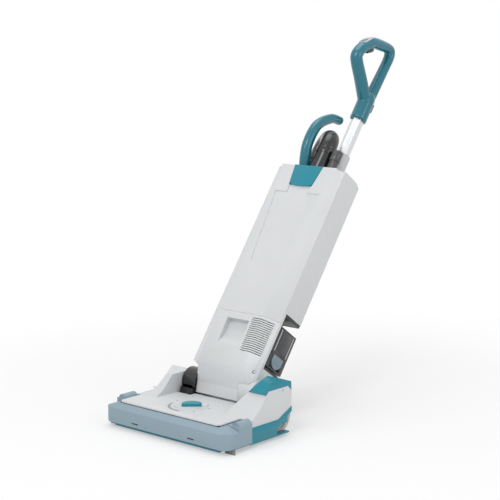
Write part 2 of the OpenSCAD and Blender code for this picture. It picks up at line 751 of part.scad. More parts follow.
module height_dial() color("#0a8a9c") in_head() translate([0, dial_y, deck_z]) {
    translate([0, 0, 0.3]) cylinder(h = 1.6, r = dial_plate_r);
    intersection() {
        cylinder(h = dial_h, r = dial_plate_r - 3);
        translate([-30, -dial_plate_r, 0.4]) cube([60, dial_plate_r - 4, dial_h]);
    }
    translate([0, 0, -dial_drop]) cylinder(h = dial_drop + 1, r = dial_shaft_r);
    translate([0, 0, -dial_drop]) cylinder(h = 2, r = dial_shaft_r + 2);
}

module front_carriage() color("#34373a") in_head() difference() {
    union() {
        rod_x(-front_wheel_x - 4, front_wheel_x + 4, front_axle_r, front_wheel_y, front_wheel_r);
        translate([-front_wheel_x + front_wheel_w / 2 + 1.5, front_wheel_y - 4, front_wheel_r - 2.6])
            cube([2 * front_wheel_x - front_wheel_w - 3, 8, 6]);
        translate([-8, dial_y - 8, front_wheel_r + 3]) cube([16, 16, carriage_top - front_wheel_r - 3]);
    }
}

module front_wheels() color("#2b2d2f") in_head() for (s = [-1, 1]) difference() {
    rod_x(s * front_wheel_x - front_wheel_w / 2, s * front_wheel_x + front_wheel_w / 2, front_wheel_r,
        front_wheel_y, front_wheel_r);
    rod_x(s * front_wheel_x - front_wheel_w, s * front_wheel_x + front_wheel_w, front_axle_r + fit,
        front_wheel_y, front_wheel_r);
}

module rear_wheel() {
    difference() {
        rod_x(wheel_x - wheel_w, wheel_x, wheel_r, axle_y, axle_z);
        rod_x(wheel_x - 5, wheel_x + 1, wheel_r - 9, axle_y, axle_z);
        rod_x(wheel_x - wheel_w - 1, wheel_x - wheel_w + 5, wheel_r - 9, axle_y, axle_z);
        rod_x(wheel_x - wheel_w - 1, wheel_x + 1, axle_r + fit, axle_y, axle_z);
        for (a = [0 : 60 : 300]) translate([0, axle_y, axle_z]) rotate([a, 0, 0])
            rod_x(wheel_x - wheel_w, wheel_x, 6, 20, 0);
    }
    difference() {
        rod_x(wheel_x - wheel_w + 1, wheel_x - 1, axle_r + 6, axle_y, axle_z);
        rod_x(wheel_x - wheel_w - 1, wheel_x + 1, axle_r + fit, axle_y, axle_z);
    }
}
module rear_wheel_left() color("#c9cccd") in_head() mirror([1, 0, 0]) rear_wheel();
module rear_wheel_right() color("#c9cccd") in_head() rear_wheel();

module rear_axles() color("#a9adb0") in_head() both_sides()
    rod_x(ear_x, side_x - 9, axle_r, axle_y, axle_z);

module recline_pedal() color("#0a8a9c") in_head() {
    translate([pedal_x, back_y - 8, pedal_z]) cube([pedal_w, 26, 4]);
    translate([pedal_x, back_y + 13, pedal_z - 2]) cube([pedal_w, 5, 7]);
    rod_x(pedal_x, pedal_x + pedal_w, 3.5, back_y - 8, pedal_z + 1.5);
}

module pivot_bushes() color("#5c6063") in_head() both_sides() difference() {
    rod_x(ear_x, ear_x + ear_t, bush_r - 0.02, pivot_y, pivot_z);
    rod_x(ear_x - 1, ear_x + ear_t + 1, pin_r + fit, pivot_y, pivot_z);
}

module head_screw() color("#2a2a2a") in_head() {
    rod_x(side_x - 3, side_x - 0.5, 2.9, screw_y, side_z - 6);
}

// ---------- body ----------
// The body's outline seen from above, set in by t
function chamfer_x(q, t) = (chamfer_d - t + q * cos(chamfer_a)) / sin(chamfer_a);
function body_plan(t) = [[hw - t, -(chamfer_d - t - (hw - t) * sin(chamfer_a)) / cos(chamfer_a)],
    [hw - t, body_back - 9], [hw - 11 - t, body_back - t], [-hw + 11 + t, body_back - t],
        [-hw + t, body_back - 9],
    [-hw + t, -(chamfer_d - t - (hw - t) * sin(chamfer_a)) / cos(chamfer_a)],
    [-chamfer_x(-52, t), -52], [chamfer_x(-52, t), -52]];
// The body's outline seen from the side, set in by t
function body_side(t) = [[-12 + t, -nose_h + t], [-front_low + 4 + t, 36], [-front_low + t, door_h],
    [-front_top + t, top_h - t], [28 - t, top_h - t], [43 - t, top_h - 8 - t],
        [body_back + 1 - t, top_h - 60],
    [body_back + 1 - t, bay_high + 24], [body_back - 5 - t, bay_high + 8], [body_back - 5 - t, 8],
        [20, -nose_h + t]];

module body_form(t) {
    intersection() {
        translate([0, 0, -60]) linear_extrude(top_h + 120) polygon(body_plan(t));
        along_x(-hw - 1, hw + 1, body_side(t));
        // lower corners cut back beside the pivot
        translate([0, 80, 0]) rotate([90, 0, 0]) linear_extrude(160)
            polygon([[-nose_x + t, -60], [nose_x - t, -60],
            [nose_x - t, -nose_h + t], [hw - t, 14 + t], [hw - t, top_h + 60], [-hw + t, top_h + 60],
                [-hw + t, 44 + t], [-nose_x + t, 24 + t]]);
    }
}
module front_half() {
    translate([-hw - 5, -80, -80]) cube([2 * hw + 10, 80 - seam_q, top_h + 160]);
}
module rear_half() {
    translate([-hw - 5, -seam_q, -80]) cube([2 * hw + 10, 120, top_h + 160]);
}

module rear_shell() color("#d9dbdd") in_body() difference() {
    union() {
        intersection() {
            union() {
                difference() {
                    body_form(0);
                    body_form(wall);
                }
                // hose channel
                translate([-chan_x0 - wall, chan_q - wall, bag_floor - wall])
                    cube([chan_x0 - chan_x1 + 2 * wall, 60, top_h - bag_floor + wall]);
                // floor of the bag chamber, and the bulkheads beside the motor
                translate([-hw, -seam_q, bag_floor - wall]) cube([2 * hw, 80, wall]);
                both_sides() translate([bay_x - wall, -seam_q, bay_low - wall])
                    cube([wall, 80, bay_high - bay_low + 2 * wall]);
                both_sides() translate([bay_x - wall, -seam_q, bay_low - wall]) cube([70, 80, wall]);
                both_sides() translate([bay_x - wall, -seam_q, bay_high]) cube([70, 80, wall]);
                translate([-hw, -seam_q, -nose_h]) cube([2 * hw, wall, bag_floor + nose_h]);
                // solid feet around the pivot
                both_sides() rod_x(nose_x - 14, nose_x, 22, 0, 0);
            }
            body_form(0);
            rear_half();
        }
        // spine for the pole
        translate([-spine_x, body_back - 22, pole_low - 110])
            cube([2 * spine_x, pole_q + 22 - body_back, top_h - pole_low + 110]);
        translate([0, pole_q, pole_low - 110]) cylinder(h = top_h - pole_low + 110, r = spine_x);
        // right hub on the pivot
        rod_x(nose_x - 1, inner_x - 2, drum_r, 0, 0);
    }
    // hose channel, open to the rear
    translate([-chan_x0, chan_q, bag_floor]) cube([chan_x0 - chan_x1, 80, top_h]);
    // way of the duct
    translate([duct_x0 - 0.2, chan_q + 0.8, bay_low - 60]) cube([duct_x1 - duct_x0 + 0.4, 34.4, 200]);
    translate([-chan_x0, chan_q, bag_floor]) cube([chan_x0 + duct_x1 + 0.2, hose_r * 2 + 5.2, 20]);
    translate([-nose_x - 4.2, -10.2, -14.2]) cube([nose_x + 4.4 + duct_x1, 38.4, bay_low - 6 + 14.4]);
    // bays, open to the side and the rear
    both_sides() translate([bay_x, -seam_q + wall + 2, bay_low]) cube([80, 80, bay_high - bay_low]);
    // bore of the pole
    translate([0, pole_q, pole_low - 105]) rotate([0, 0, 90])
        cylinder(h = top_h, r = (pole_flats / 2 + gap) / cos(30), $fn = 6);
    translate([0, pole_q, pole_low - 107]) cylinder(h = top_h - 25 - pole_low + 107, r = spine_x - 2.5);
    // pin seats
    both_sides() rod_x(nose_x - 20, inner_x, pin_r + 0.02, 0, 0);
    // drum of the hose knuckle
    rod_x(-inner_x, -nose_x + 2.2, drum_r + 0.2, 0, 0);
    top_holes();
    // motor air way in the chamber floor
    translate([motor_x, motor_q, bag_floor - 2 * wall]) cylinder(h = 20, r = fan_r - 6);
    // motor space in front
    translate([motor_x, motor_q, bay_low - 10]) cylinder(h = bag_floor - wall - bay_low + 10,
        r = motor_r + 3.4);
}

module top_plate() color("#d9dbdd") in_body() difference() {
    translate([0, 0, top_h - wall]) linear_extrude(wall) intersection() {
        polygon(body_plan(wall + gap));
        translate([-hw, -front_top + wall + gap]) square([2 * hw, front_top - wall - gap - seam_q]);
    }
    top_holes();
}
module top_holes() {
    translate([inlet_x, -inlet_q, top_h - 20]) cylinder(h = 40, r = cuff_r + 0.2);
    translate([-hook_x, -hook_q, top_h - 20]) cylinder(h = 40, r = hook_r + 1);
    translate([tool_x, tool_q, top_h - 20]) cylinder(h = 40, r = tool_r + 2.7);
}

module lower_cover() color("#dadcde") in_body() difference() {
    intersection() {
        difference() {
            body_form(0);
            difference() {
                body_form(wall);
                // the finger recess keeps a wall behind it
                translate([-recess_half - wall, -60, recess_low - wall])
                    cube([2 * recess_half + 2 * wall, 60 - front_low + recess_deep + wall,
                        recess_top - recess_low + 2 * wall]);
            }
        }
        translate([-hw - 5, -80, -80]) cube([2 * hw + 10, 80 - seam_q - gap, 80 + door_h - gap]);
    }
    // finger recess, deep at the top and running out at the bottom
    along_x(-recess_half, recess_half, [[-60, recess_top], [-front_low + recess_deep, recess_top],
        [-front_low + recess_deep - 2, recess_low + 24], [-front_low - 1, recess_low], [-60, recess_low]]);
    // louvres, around the right corner
    for (i = [0 : louvre_count - 1]) translate([louvre_x, -60, louvre_low + i * louvre_pitch])
        cube([hw - 9 - louvre_x, 60 - seam_q - 5, louvre_slot]);
    both_sides() rod_x(nose_x - 2, inner_x, drum_r + 2 * gap, 0, 0);
    both_sides() translate([hw - 10, -seam_q - 6, 37]) sphere(r = 4);
}

module bag_door() color("#dadcde") in_body() difference() {
    intersection() {
        difference() {
            body_form(0);
            body_form(wall);
            // open top behind the front wall
            translate([-hw, -front_top + wall, top_h - wall - 1]) cube([2 * hw, 80, 20]);
        }
        translate([-hw - 5, -80, door_h]) cube([2 * hw + 10, 80 - seam_q - gap, 600]);
    }
    // shaped panel
    front_cut(panel_deep) polygon([[-41, panel_low], [41, panel_low], [56, top_h - 116], [62, top_h - 70],
        [-62, top_h - 70], [-56, top_h - 116]]);
    // latch seat and finger scoop
    front_cut(wall + 4) polygon([[-latch_low_half - 2 * gap, top_h - latch_h - gap],
        [latch_low_half + 2 * gap, top_h - latch_h - gap],
        [latch_half + 2 * gap, top_h + 2], [-latch_half - 2 * gap, top_h + 2]]);
    front_cut(panel_deep + 0.6) polygon([[-latch_low_half + 4, top_h - latch_h - 22],
        [latch_low_half - 4, top_h - latch_h - 22],
        [latch_low_half, top_h - latch_h + 2], [-latch_low_half, top_h - latch_h + 2]]);
}
// A cut of depth d into the sloping front, drawn as seen from the front
module front_cut(d) {
    translate([0, -front_low, door_h]) rotate([90 - lean, 0, 0]) translate([0, -door_h / cos(lean), -d])
        linear_extrude(30) scale([1, 1 / cos(lean)]) children();
}

module door_latch() color("#0492a6") in_body() intersection() {
    translate([0, -front_low, door_h]) rotate([90 - lean, 0, 0])
        translate([0, -door_h / cos(lean), 0.4 - wall])
        linear_extrude(wall + 0.6) polygon([[-latch_low_half, top_h - latch_h],
            [latch_low_half, top_h - latch_h],
            [latch_half, top_h + 2], [-latch_half, top_h + 2]]);
    translate([-60, -80, 0]) cube([120, 200, top_h + 1.5]);
}

module pivot_pins() color("#b4b8bb") in_body() both_sides()
    rod_x(nose_x - 8, inner_x + wall + ear_t, pin_r, 0, 0);

// Duct from the turning drum, past the motor, up to the foot of the hose
module duct_body(t) {
    rod_x(-duct_out + t, -nose_x + 2, drum_r - t, 0, 0);
    translate([-nose_x - 0.4 + t, -10 + t, -14 + t])
        cube([nose_x + 0.4 + duct_x1 - 2 * t, 38 - 2 * t, bay_low - 6 + 14 - 2 * t]);
    translate([duct_x0 + t, chan_q + 1 + t, 0]) cube([duct_x1 - duct_x0 - 2 * t, 34 - 2 * t,
        bag_floor + 6 - t]);
    translate([-chan_x0 + 1 + t, chan_q + 1 + t, bag_floor + 0.2 + t])
        cube([chan_x0 + duct_x1 - 1 - 2 * t, hose_r * 2 + 4 - 2 * t, 19.5 - 2 * t]);
}
module hose_knuckle() color("#1b1c1e") in_body() difference() {
    duct_body(0);
    duct_body(2);
    translate([-hose_x, hose_q, bag_floor + 10]) cylinder(h = 20, r = hose_bore);
    // mouth towards the head's duct
    rod_x(-duct_out + 3, -nose_x - 6, drum_r - 6, 0, -12);
    rod_x(-inner_x, -nose_x + 30, pin_r + 0.02, 0, 0);
}

function rib_pts() = concat([[hose_bore, 0], [hose_bore + 1.4, 0], [hose_bore + 1.4, 8]],
    [for (i = [0 : rib_count - 1]) for (k = [0 : 1]) [k == 0 ? hose_r : hose_r - 1.8,
        8 + (i + 0.3 + 0.45 * k) * rib_p]],
    [[hose_bore + 1.4, hose_high - hose_low - 8], [hose_bore + 1.4, hose_high - hose_low],
        [hose_bore, hose_high - hose_low]]);
module ribbed_hose() color("#26272a") in_body() translate([-hose_x, hose_q, hose_low])
    rotate_extrude($fn = 8) polygon(rib_pts());

// Moulded elbow over the top of the body, from the hose to the inlet
module hose_elbow() color("#191a1c") in_body() difference() {
    union() {
        translate([inlet_x, -inlet_q, elbow_h]) rotate([0, 0, bend_a]) translate([bend_d / 2, 0, 0])
            rotate([90, 0, 0])
            rotate_extrude(angle = 180) translate([bend_d / 2, 0]) circle(r = elbow_r);
        // web between the legs
        translate([inlet_x, -inlet_q, elbow_h]) rotate([0, 0, bend_a])
            translate([elbow_r - 3, -web_t / 2, 0]) cube([bend_d - 2 * elbow_r + 6, web_t, elbow_r - 3]);
        translate([-hose_x, hose_q, hose_high - 6]) cylinder(h = elbow_h - hose_high + 6, r = elbow_r + 0.6);
        translate([inlet_x, -inlet_q, elbow_h - 6]) cylinder(h = 6, r = elbow_r + 0.6);
    }
    translate([inlet_x, -inlet_q, elbow_h]) rotate([0, 0, bend_a]) translate([bend_d / 2, 0, 0])
        rotate([90, 0, 0])
        rotate_extrude(angle = 180) translate([bend_d / 2, 0]) circle(r = elbow_r - 2.5);
    translate([-hose_x, hose_q, hose_high - 7]) cylinder(h = elbow_h - hose_high + 7, r = elbow_r - 2.1);
    translate([inlet_x, -inlet_q, elbow_h - 7]) cylinder(h = 7, r = elbow_r - 2.1);
}

module inlet_cuff() color("#151618") in_body() difference() {
    union() {
        translate([inlet_x, -inlet_q, top_h - 17.8]) cylinder(h = elbow_h - 6.2 - top_h + 17.8, r = cuff_r);
        translate([inlet_x, -inlet_q, elbow_h - 20]) cylinder(h = 13.6, r = cuff_r + 1.4);
    }
    translate([inlet_x, -inlet_q, top_h - 40]) cylinder(h = 200, r = cuff_r - 3);
}

module tool_tube() color("#3b3d40") in_body() difference() {
    union() {
        translate([tool_x, tool_q, tool_top - tool_l]) cylinder(h = tool_l, r = tool_r);
        translate([tool_x, tool_q, tool_top - 26]) cylinder(h = 26, r = tool_r + 2);
    }
    translate([tool_x, tool_q, tool_top - tool_l - 1]) cylinder(h = tool_l + 2, r = tool_r - 2);
}

module tool_holder() color("#2a2b2e") in_body() difference() {
    translate([tool_x, tool_q, tool_top - tool_l - 1.8])
        cylinder(h = top_h + 3 - tool_top + tool_l + 1.8, r = tool_r + 2.5);
    translate([tool_x, tool_q, tool_top - tool_l - gap]) cylinder(h = 400, r = tool_r + gap);
    translate([tool_x, tool_q, top_h - 60]) cylinder(h = 57, r = tool_r + gap);
}

hook_pts = [[-hook_q, top_h - 4], [-hook_q, top_h + 6], [-hook_q - 21, top_h + 48],
    [-hook_q - 23, top_h + 80],
    [-hook_q - 16, top_h + 110], [-hook_q + 9, top_h + 141], [-hook_q + 47, top_h + 162]];
module carry_handle() color("#06788a") in_body() translate([-hook_x, 0, 0])
    swept_bar(hook_pts, hook_r, hook_r, 26, hook_r - 2);

module pole_sleeve() color("#cfd2d4") in_body() difference() {
    union() {
        translate([0, pole_q, top_h + 0.2]) cylinder(h = sleeve_top - top_h - 0.2, r = sleeve_r);
        translate([0, pole_q, top_h + 0.2]) cylinder(h = 10, r = sleeve_r + 3);
    }
    translate([0, pole_q, top_h - 10]) rotate([0, 0, 90])
        cylinder(h = 200, r = (pole_flats / 2 + gap) / cos(30), $fn = 6);
}

module battery_bays() color("#232427") in_body() both_sides() intersection() {
    difference() {
        translate([bay_x + 0.2, -seam_q + wall + 2.2, bay_low + 0.2])
            cube([80, 100, bay_high - bay_low - 0.4]);
        translate([bay_x + 2.2, -seam_q + wall + 4.2, bay_low + 6]) cube([100, 100, bay_high - bay_low - 12]);
    }
    body_form(1);
}

module pack() {
    difference() {
        translate([hw - 2 - pack_d, pack_q, pack_low]) cube([pack_d, pack_w, pack_h]);
        translate([hw + 0.5 - pack_d, pack_q + 2.5, pack_low + 2.5])
            cube([pack_d - 12, pack_w - 5, pack_h - 5]);
        translate([hw - 8.5, pack_q + 12, pack_low + 4]) cube([20, pack_w - 24, pack_button_h]);
    }
    for (i = [0 : 1]) for (j = [0 : 3]) translate([hw - pack_d + 9 + 16.5 * i, pack_q + 11 + 13 * j,
        pack_low + 2.4])
        cylinder(h = pack_h - 4.8, r = 6);
}
module battery_left() color("#222326") in_body() mirror([1, 0, 0]) pack();
module battery_right() color("#222326") in_body() pack();
module pack_button() {
    translate([hw - 6.5, pack_q + 12 + gap, pack_low + 4 + gap])
        cube([6.2, pack_w - 24 - 2 * gap, pack_button_h - 2 * gap]);
}
module pack_button_left() color("#7f97a3") in_body() mirror([1, 0, 0]) pack_button();
module pack_button_right() color("#7f97a3") in_body() pack_button();

module suction_motor() color("#44474a") in_body() translate([motor_x, motor_q, motor_low]) difference() {
    union() {
        cylinder(h = motor_l, r = motor_r);
    }
    translate([0, 0, 3]) cylinder(h = motor_l - 6, r = motor_r - 2.5);
    translate([0, 0, motor_l - 4]) cylinder(h = 10, r = fan_r - 8);
    translate([0, 0, -1]) cylinder(h = 10, r = shaft_r + fit);
    for (a = [0 : 60 : 300]) rotate([0, 0, a]) translate([motor_r - 4, -6, 14]) cube([10, 12, 10]);
}

module motor_fan() color("#b5b8ba") in_body() translate([motor_x, motor_q, motor_low]) {
    translate([0, 0, 1]) cylinder(h = motor_l - 8, r = shaft_r);
    translate([0, 0, 12]) cylinder(h = 30, r = fan_r - 6);
    translate([0, 0, motor_l - 20]) cylinder(h = 2, r = fan_r);
    for (a = [0 : 45 : 315]) rotate([0, 0, a]) translate([shaft_r - 1, -1, motor_l - 18 - e])
        cube([fan_r - shaft_r, 2, 9]);
    translate([0, 0, motor_l - 18 - e]) cylinder(h = 9, r = 8);
}

module motor_mounts() color("#17181a") in_body() translate([motor_x, motor_q, motor_low]) {
    difference() {
        translate([0, 0, -3]) cylinder(h = 10, r = motor_r + 3.2);
        cylinder(h = 20, r = motor_r + 0.02);
        translate([0, 0, -4]) cylinder(h = 20, r = motor_r - 8);
    }
    difference() {
        translate([0, 0, motor_l - 8]) cylinder(h = 11, r = motor_r + 3.2);
        translate([0, 0, motor_l - 9]) cylinder(h = 9, r = motor_r + 0.02);
        translate([0, 0, motor_l - 10]) cylinder(h = 20, r = motor_r - 8);
    }
}

module motor_filter() color("#eceff0") in_body() translate([0, 0, bag_floor + 0.2])
    translate([-60, -seam_q + 6, 0]) cube([120, chan_q - wall + seam_q - 7, filter_h]);

module exhaust_filter() color("#f0f1f2") in_body() difference() {
    translate([louvre_x - 2, -seam_q - 0.2 - 9, louvre_low - 3])
        cube([36, 9, louvre_count * louvre_pitch + 4]);
    for (i = [0 : 6]) translate([louvre_x + 1 + 5 * i, -seam_q - 12, louvre_low])
        cube([2.5, 8, louvre_count * louvre_pitch - 3]);
}

module dust_bag() color("#e9e4d8") in_body() difference() {
    union() {
        translate([-hw + 12, -seam_q - 4, bag_low])
            cube([2 * hw - 24, bag_deep, tool_top - tool_l - 10 - bag_low]);
        translate([-hw + 12, -seam_q - 4, bag_low])
            cube([hw + tool_x - tool_r - 16, bag_deep, top_h - 21.2 - bag_low]);
        translate([-hw + 20, -seam_q - 7, bag_low + 8])
            cube([2 * hw - 40, 4, tool_top - tool_l - 28 - bag_low]);
    }
    translate([-hw + 13.5, -seam_q - 2.5, bag_low + 1.5])
        cube([2 * hw - 27, bag_deep - 3, tool_top - tool_l - 13 - bag_low]);
    translate([-hw + 13.5, -seam_q - 2.5, bag_low + 1.5])
        cube([hw + tool_x - tool_r - 19, bag_deep - 3, top_h - 24 - bag_low]);
    translate([inlet_x, -inlet_q, top_h - 40]) cylinder(h = 80, r = cuff_r - 7);
}

module bag_collar() color("#b9b2a0") in_body() difference() {
    translate([-hw + 24, -seam_q - 7, top_h - 21]) cube([hw + tool_x - tool_r - 30, bag_deep + 3, 3]);
    translate([inlet_x, -inlet_q, top_h - 40]) cylinder(h = 80, r = cuff_r - 7);
}

module control_board() color("#1d6b3a") in_body()
    translate([duct_x1 + 3, -seam_q + wall + 0.3, bay_low - 16]) cube([52, 40, 1.6]);

module body_screws() color("#2a2a2a") in_body() both_sides()
    translate([hw - 10, -seam_q - 6, 37]) rotate([90, 0, chamfer_a + 20]) cylinder(h = 2, r = 2.6);

// ---------- pole and grip ----------
module pole_tube() color("#c3c7c9") in_body() translate([0, pole_q, pole_low]) rotate([0, 0, 90])
    difference() {
    cylinder(h = grip_low + 40 - pole_low, r = pole_flats / 2 / cos(30), $fn = 6);
    translate([0, 0, -1]) cylinder(h = 600, r = (pole_flats / 2 - pole_wall) / cos(30), $fn = 6);
}

module grip_form() {
    swept_bar(loop_pts, grip_r, grip_r - 1.5, 20, grip_r - 3);
    swept_bar(rear_pts, grip_r - 1.3, grip_r - 3.5, 20, grip_r - 4);
    translate([0, pole_q, grip_low]) cylinder(h = neck_h - grip_low, r = collar_r);
    translate([0, pole_q, neck_h - e]) cylinder(h = 16, r1 = collar_r, r2 = collar_r - 6);
}
module panel_place() {
    translate(panel_mid) rotate([panel_a, 0, 0]) children();
}

module grip_half(s) {
    difference() {
        intersection() {
            grip_form();
            translate([s > 0 ? 0 : -60, -100, 0]) cube([60, 300, top_h + 500]);
        }
        // socket of the pole
        translate([0, pole_q, grip_low - 1]) rotate([0, 0, 90])
            cylinder(h = 41.2, r = (pole_flats / 2 + 0.05) / cos(30), $fn = 6);
        // switch panel, its buttons and the trigger
        panel_place() {
            translate([-panel_w / 2 - 0.2, -panel_l / 2 - 0.2, panel_z - 0.2])
                cube([panel_w + 0.4, panel_l + 0.4, 20]);
            for (k = [-1, 1]) translate([-button_w / 2 - gap, k * 8 - button_l / 2 - gap, 8.8])
                cube([button_w + 2 * gap, button_l + 2 * gap, 20]);
            translate([-6.4, -10.6, -30]) cube([12.8, 25.2, 24]);
        }
        // lock button of the pole
        translate([-lock_w / 2 - gap, lock_floor, lock_h - gap])
            cube([lock_w + 2 * gap, 40, lock_l + 2 * gap]);
    }
}
module grip_left() color("#06788a") in_body() grip_half(-1);
module grip_right() color("#06788a") in_body() grip_half(1);

module switch_panel() color("#e4e6e7") in_body() panel_place() difference() {
    translate([-panel_w / 2, -panel_l / 2, panel_z]) cube([panel_w, panel_l, 3.2]);
    for (k = [-1, 1]) translate([-button_w / 2 - gap, k * 8 - button_l / 2 - gap, 0])
        cube([button_w + 2 * gap, button_l + 2 * gap, 20]);
}
module button(k) {
    panel_place() translate([-button_w / 2, k * 8 - button_l / 2, 10.8]) cube([button_w, button_l, 4.9]);
}
module power_button() color("#f4f5f5") in_body() button(1);
module mode_button() color("#b5babd") in_body() button(-1);

module trigger() color("#1a1b1d") in_body() panel_place() difference() {
    translate([-6, -10.2, -19]) cube([12, 24, 10]);
    translate([-7, -11, -20]) rotate([-14, 0, 0]) cube([14, 30, 4]);
}

module tube_lock() color("#056a7a") in_body()
    translate([-lock_w / 2, lock_floor + 2.3, lock_h])
        cube([lock_w, pole_q + collar_r + 5 - lock_floor - 2.3, lock_l]);

head_base();
base_plate();
head_cover();
bumper();
side_cap();
edge_brushes();
swivel_duct();
brush_motor();
drive_belt();
motor_pulley();
brush_roller();
brush_bristles();
roller_bearings();
dial_ring();
height_dial();
front_carriage();
front_wheels();
rear_wheel_left();
rear_wheel_right();
rear_axles();
recline_pedal();
pivot_bushes();
head_screw();
rear_shell();
top_plate();
lower_cover();
bag_door();
door_latch();
pivot_pins();
hose_knuckle();
ribbed_hose();
hose_elbow();
inlet_cuff();
tool_tube();
tool_holder();
carry_handle();
pole_sleeve();
battery_bays();
battery_left();
battery_right();
pack_button_left();
pack_button_right();
suction_motor();
motor_fan();
motor_mounts();
motor_filter();
exhaust_filter();
dust_bag();
bag_collar();
control_board();
body_screws();
pole_tube();
grip_left();
grip_right();
switch_panel();
power_button();
mode_button();
trigger();
tube_lock();
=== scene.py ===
import bpy, bmesh, json, math, random
from mathutils import Vector, Matrix


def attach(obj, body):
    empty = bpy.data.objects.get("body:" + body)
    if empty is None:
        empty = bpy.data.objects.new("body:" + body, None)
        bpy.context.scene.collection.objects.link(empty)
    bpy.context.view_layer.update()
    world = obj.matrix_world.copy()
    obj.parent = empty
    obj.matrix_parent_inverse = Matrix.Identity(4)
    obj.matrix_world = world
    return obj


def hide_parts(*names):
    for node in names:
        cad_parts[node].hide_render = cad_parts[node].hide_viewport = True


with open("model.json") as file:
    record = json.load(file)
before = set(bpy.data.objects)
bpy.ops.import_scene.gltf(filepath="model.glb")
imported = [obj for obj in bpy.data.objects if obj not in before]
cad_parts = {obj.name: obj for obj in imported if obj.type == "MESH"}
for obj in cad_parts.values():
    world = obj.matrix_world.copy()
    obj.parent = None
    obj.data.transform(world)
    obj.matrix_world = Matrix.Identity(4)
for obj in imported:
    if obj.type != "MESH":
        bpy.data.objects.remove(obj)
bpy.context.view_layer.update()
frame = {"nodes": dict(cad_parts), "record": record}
random.seed(7)

# ---------- the body's own frame: x across, q to the rear, h along the body, in mm ----------
LEAN = math.radians(36)
SN, CS = math.sin(LEAN), math.cos(LEAN)
PIVOT_Y, PIVOT_Z = 190.0, 76.0
GRIP_TOP, GRIP_BACK = 912, 83
# half of what the rounded grip falls short of that corner
CORNER_TRIM = 5.5
# the part's middle, along the floor
SHIFT = (PIVOT_Y + GRIP_TOP * SN + GRIP_BACK * CS) / 2 - CORNER_TRIM
ACROSS, BACK, UP = Vector((1, 0, 0)), Vector((0, 1, 0)), Vector((0, 0, 1))
SIDES = ((-1, "left"), (1, "right"))


def head(x, y, z):
    return Vector((x, y - SHIFT, z)) / 1000


def body(x, q, h):
    return head(x, PIVOT_Y + q * CS + h * SN, PIVOT_Z - q * SN + h * CS)


# ---------- camera and light ----------
def make_camera():
    az, el = math.radians(41.1), math.radians(9.2)
    cam = bpy.data.cameras.new("camera")
    cam.lens, cam.sensor_width = 100.8, 36
    obj = bpy.data.objects.new("camera", cam)
    bpy.context.collection.objects.link(obj)
    view = Vector((-math.sin(az) * math.cos(el), math.cos(az) * math.cos(el), -math.sin(el)))
    obj.location = (1.9564, -2.3614, 0.8451)
    obj.rotation_euler = view.to_track_quat("-Z", "Y").to_euler()
    bpy.context.scene.camera = obj


def area(name, at, to, size, power):
    lamp = bpy.data.lights.new(name, "AREA")
    lamp.shape, lamp.size, lamp.energy = "DISK", size, power
    obj = bpy.data.objects.new(name, lamp)
    bpy.context.collection.objects.link(obj)
    obj.location = at
    obj.rotation_euler = (Vector(to) - Vector(at)).to_track_quat("-Z", "Y").to_euler()


def background_rays(tree):
    """1 for the rays that see the plain background: camera, glossy and transmission rays."""
    rays = tree.nodes.new("ShaderNodeLightPath")
    out = rays.outputs["Is Camera Ray"]
    for kind in ("Is Glossy Ray", "Is Transmission Ray"):
        either = tree.nodes.new("ShaderNodeMath")
        either.operation = "MAXIMUM"
        tree.links.new(out, either.inputs[0])
        tree.links.new(rays.outputs[kind], either.inputs[1])
        out = either.outputs[0]
    return out


def make_light():
    world = bpy.data.worlds.new("studio")
    bpy.context.scene.world = world
    world.use_nodes = True
    back = world.node_tree.nodes["Background"]
    back.inputs["Color"].default_value = (1, 1, 1, 1)
    back.inputs["Strength"].default_value = 0.62
    seen = world.node_tree.nodes.new("ShaderNodeBackground")
    both = world.node_tree.nodes.new("ShaderNodeMixShader")
    world.node_tree.links.new(background_rays(world.node_tree), both.inputs[0])
    world.node_tree.links.new(back.outputs[0], both.inputs[1])
    world.node_tree.links.new(seen.outputs[0], both.inputs[2])
    world.node_tree.links.new(both.outputs[0], world.node_tree.nodes["World Output"].inputs[0])
    seen.inputs["Color"].default_value = (1, 1, 1, 1)
    area("key", (0.6, -2.2, 2.6), (0, 0, 0.4), 1.2, 22)
    area("right", (2.6, 0.3, 1.4), (0, 0, 0.4), 1.4, 9)
    area("top", (-0.3, 0.3, 3.0), (0, 0, 0.2), 2.0, 20)
    area("spot", (-0.5, -2.4, 1.9), (0, 0.1, 0.55), 0.35, 5)
    view = bpy.context.scene.view_settings
    view.view_transform, view.look, view.exposure, view.gamma = "Standard", "None", 0, 1


# ---------- materials ----------
class Sock:
    """A node socket with arithmetic."""

    def __init__(self, net, out):
        self.net, self.out = net, out

    def __add__(self, other):
        return self.net.math("ADD", self, other)

    def __radd__(self, other):
        return self.net.math("ADD", other, self)

    def __sub__(self, other):
        return self.net.math("SUBTRACT", self, other)

    def __rsub__(self, other):
        return self.net.math("SUBTRACT", other, self)

    def __mul__(self, other):
        return self.net.math("MULTIPLY", self, other)

    def __rmul__(self, other):
        return self.net.math("MULTIPLY", other, self)

    def __abs__(self):
        return self.net.math("ABSOLUTE", self)

    def power(self, other):
        return self.net.math("POWER", self, other)

    def step(self, low, high):
        """0 below low, 1 above high, smooth between."""
        n = self.net.node("ShaderNodeMapRange", interpolation_type="SMOOTHSTEP")
        self.net.put(n, {"Value": self, "From Min": low, "From Max": high, "To Min": 0.0, "To Max": 1.0})
        return Sock(self.net, n.outputs[0])


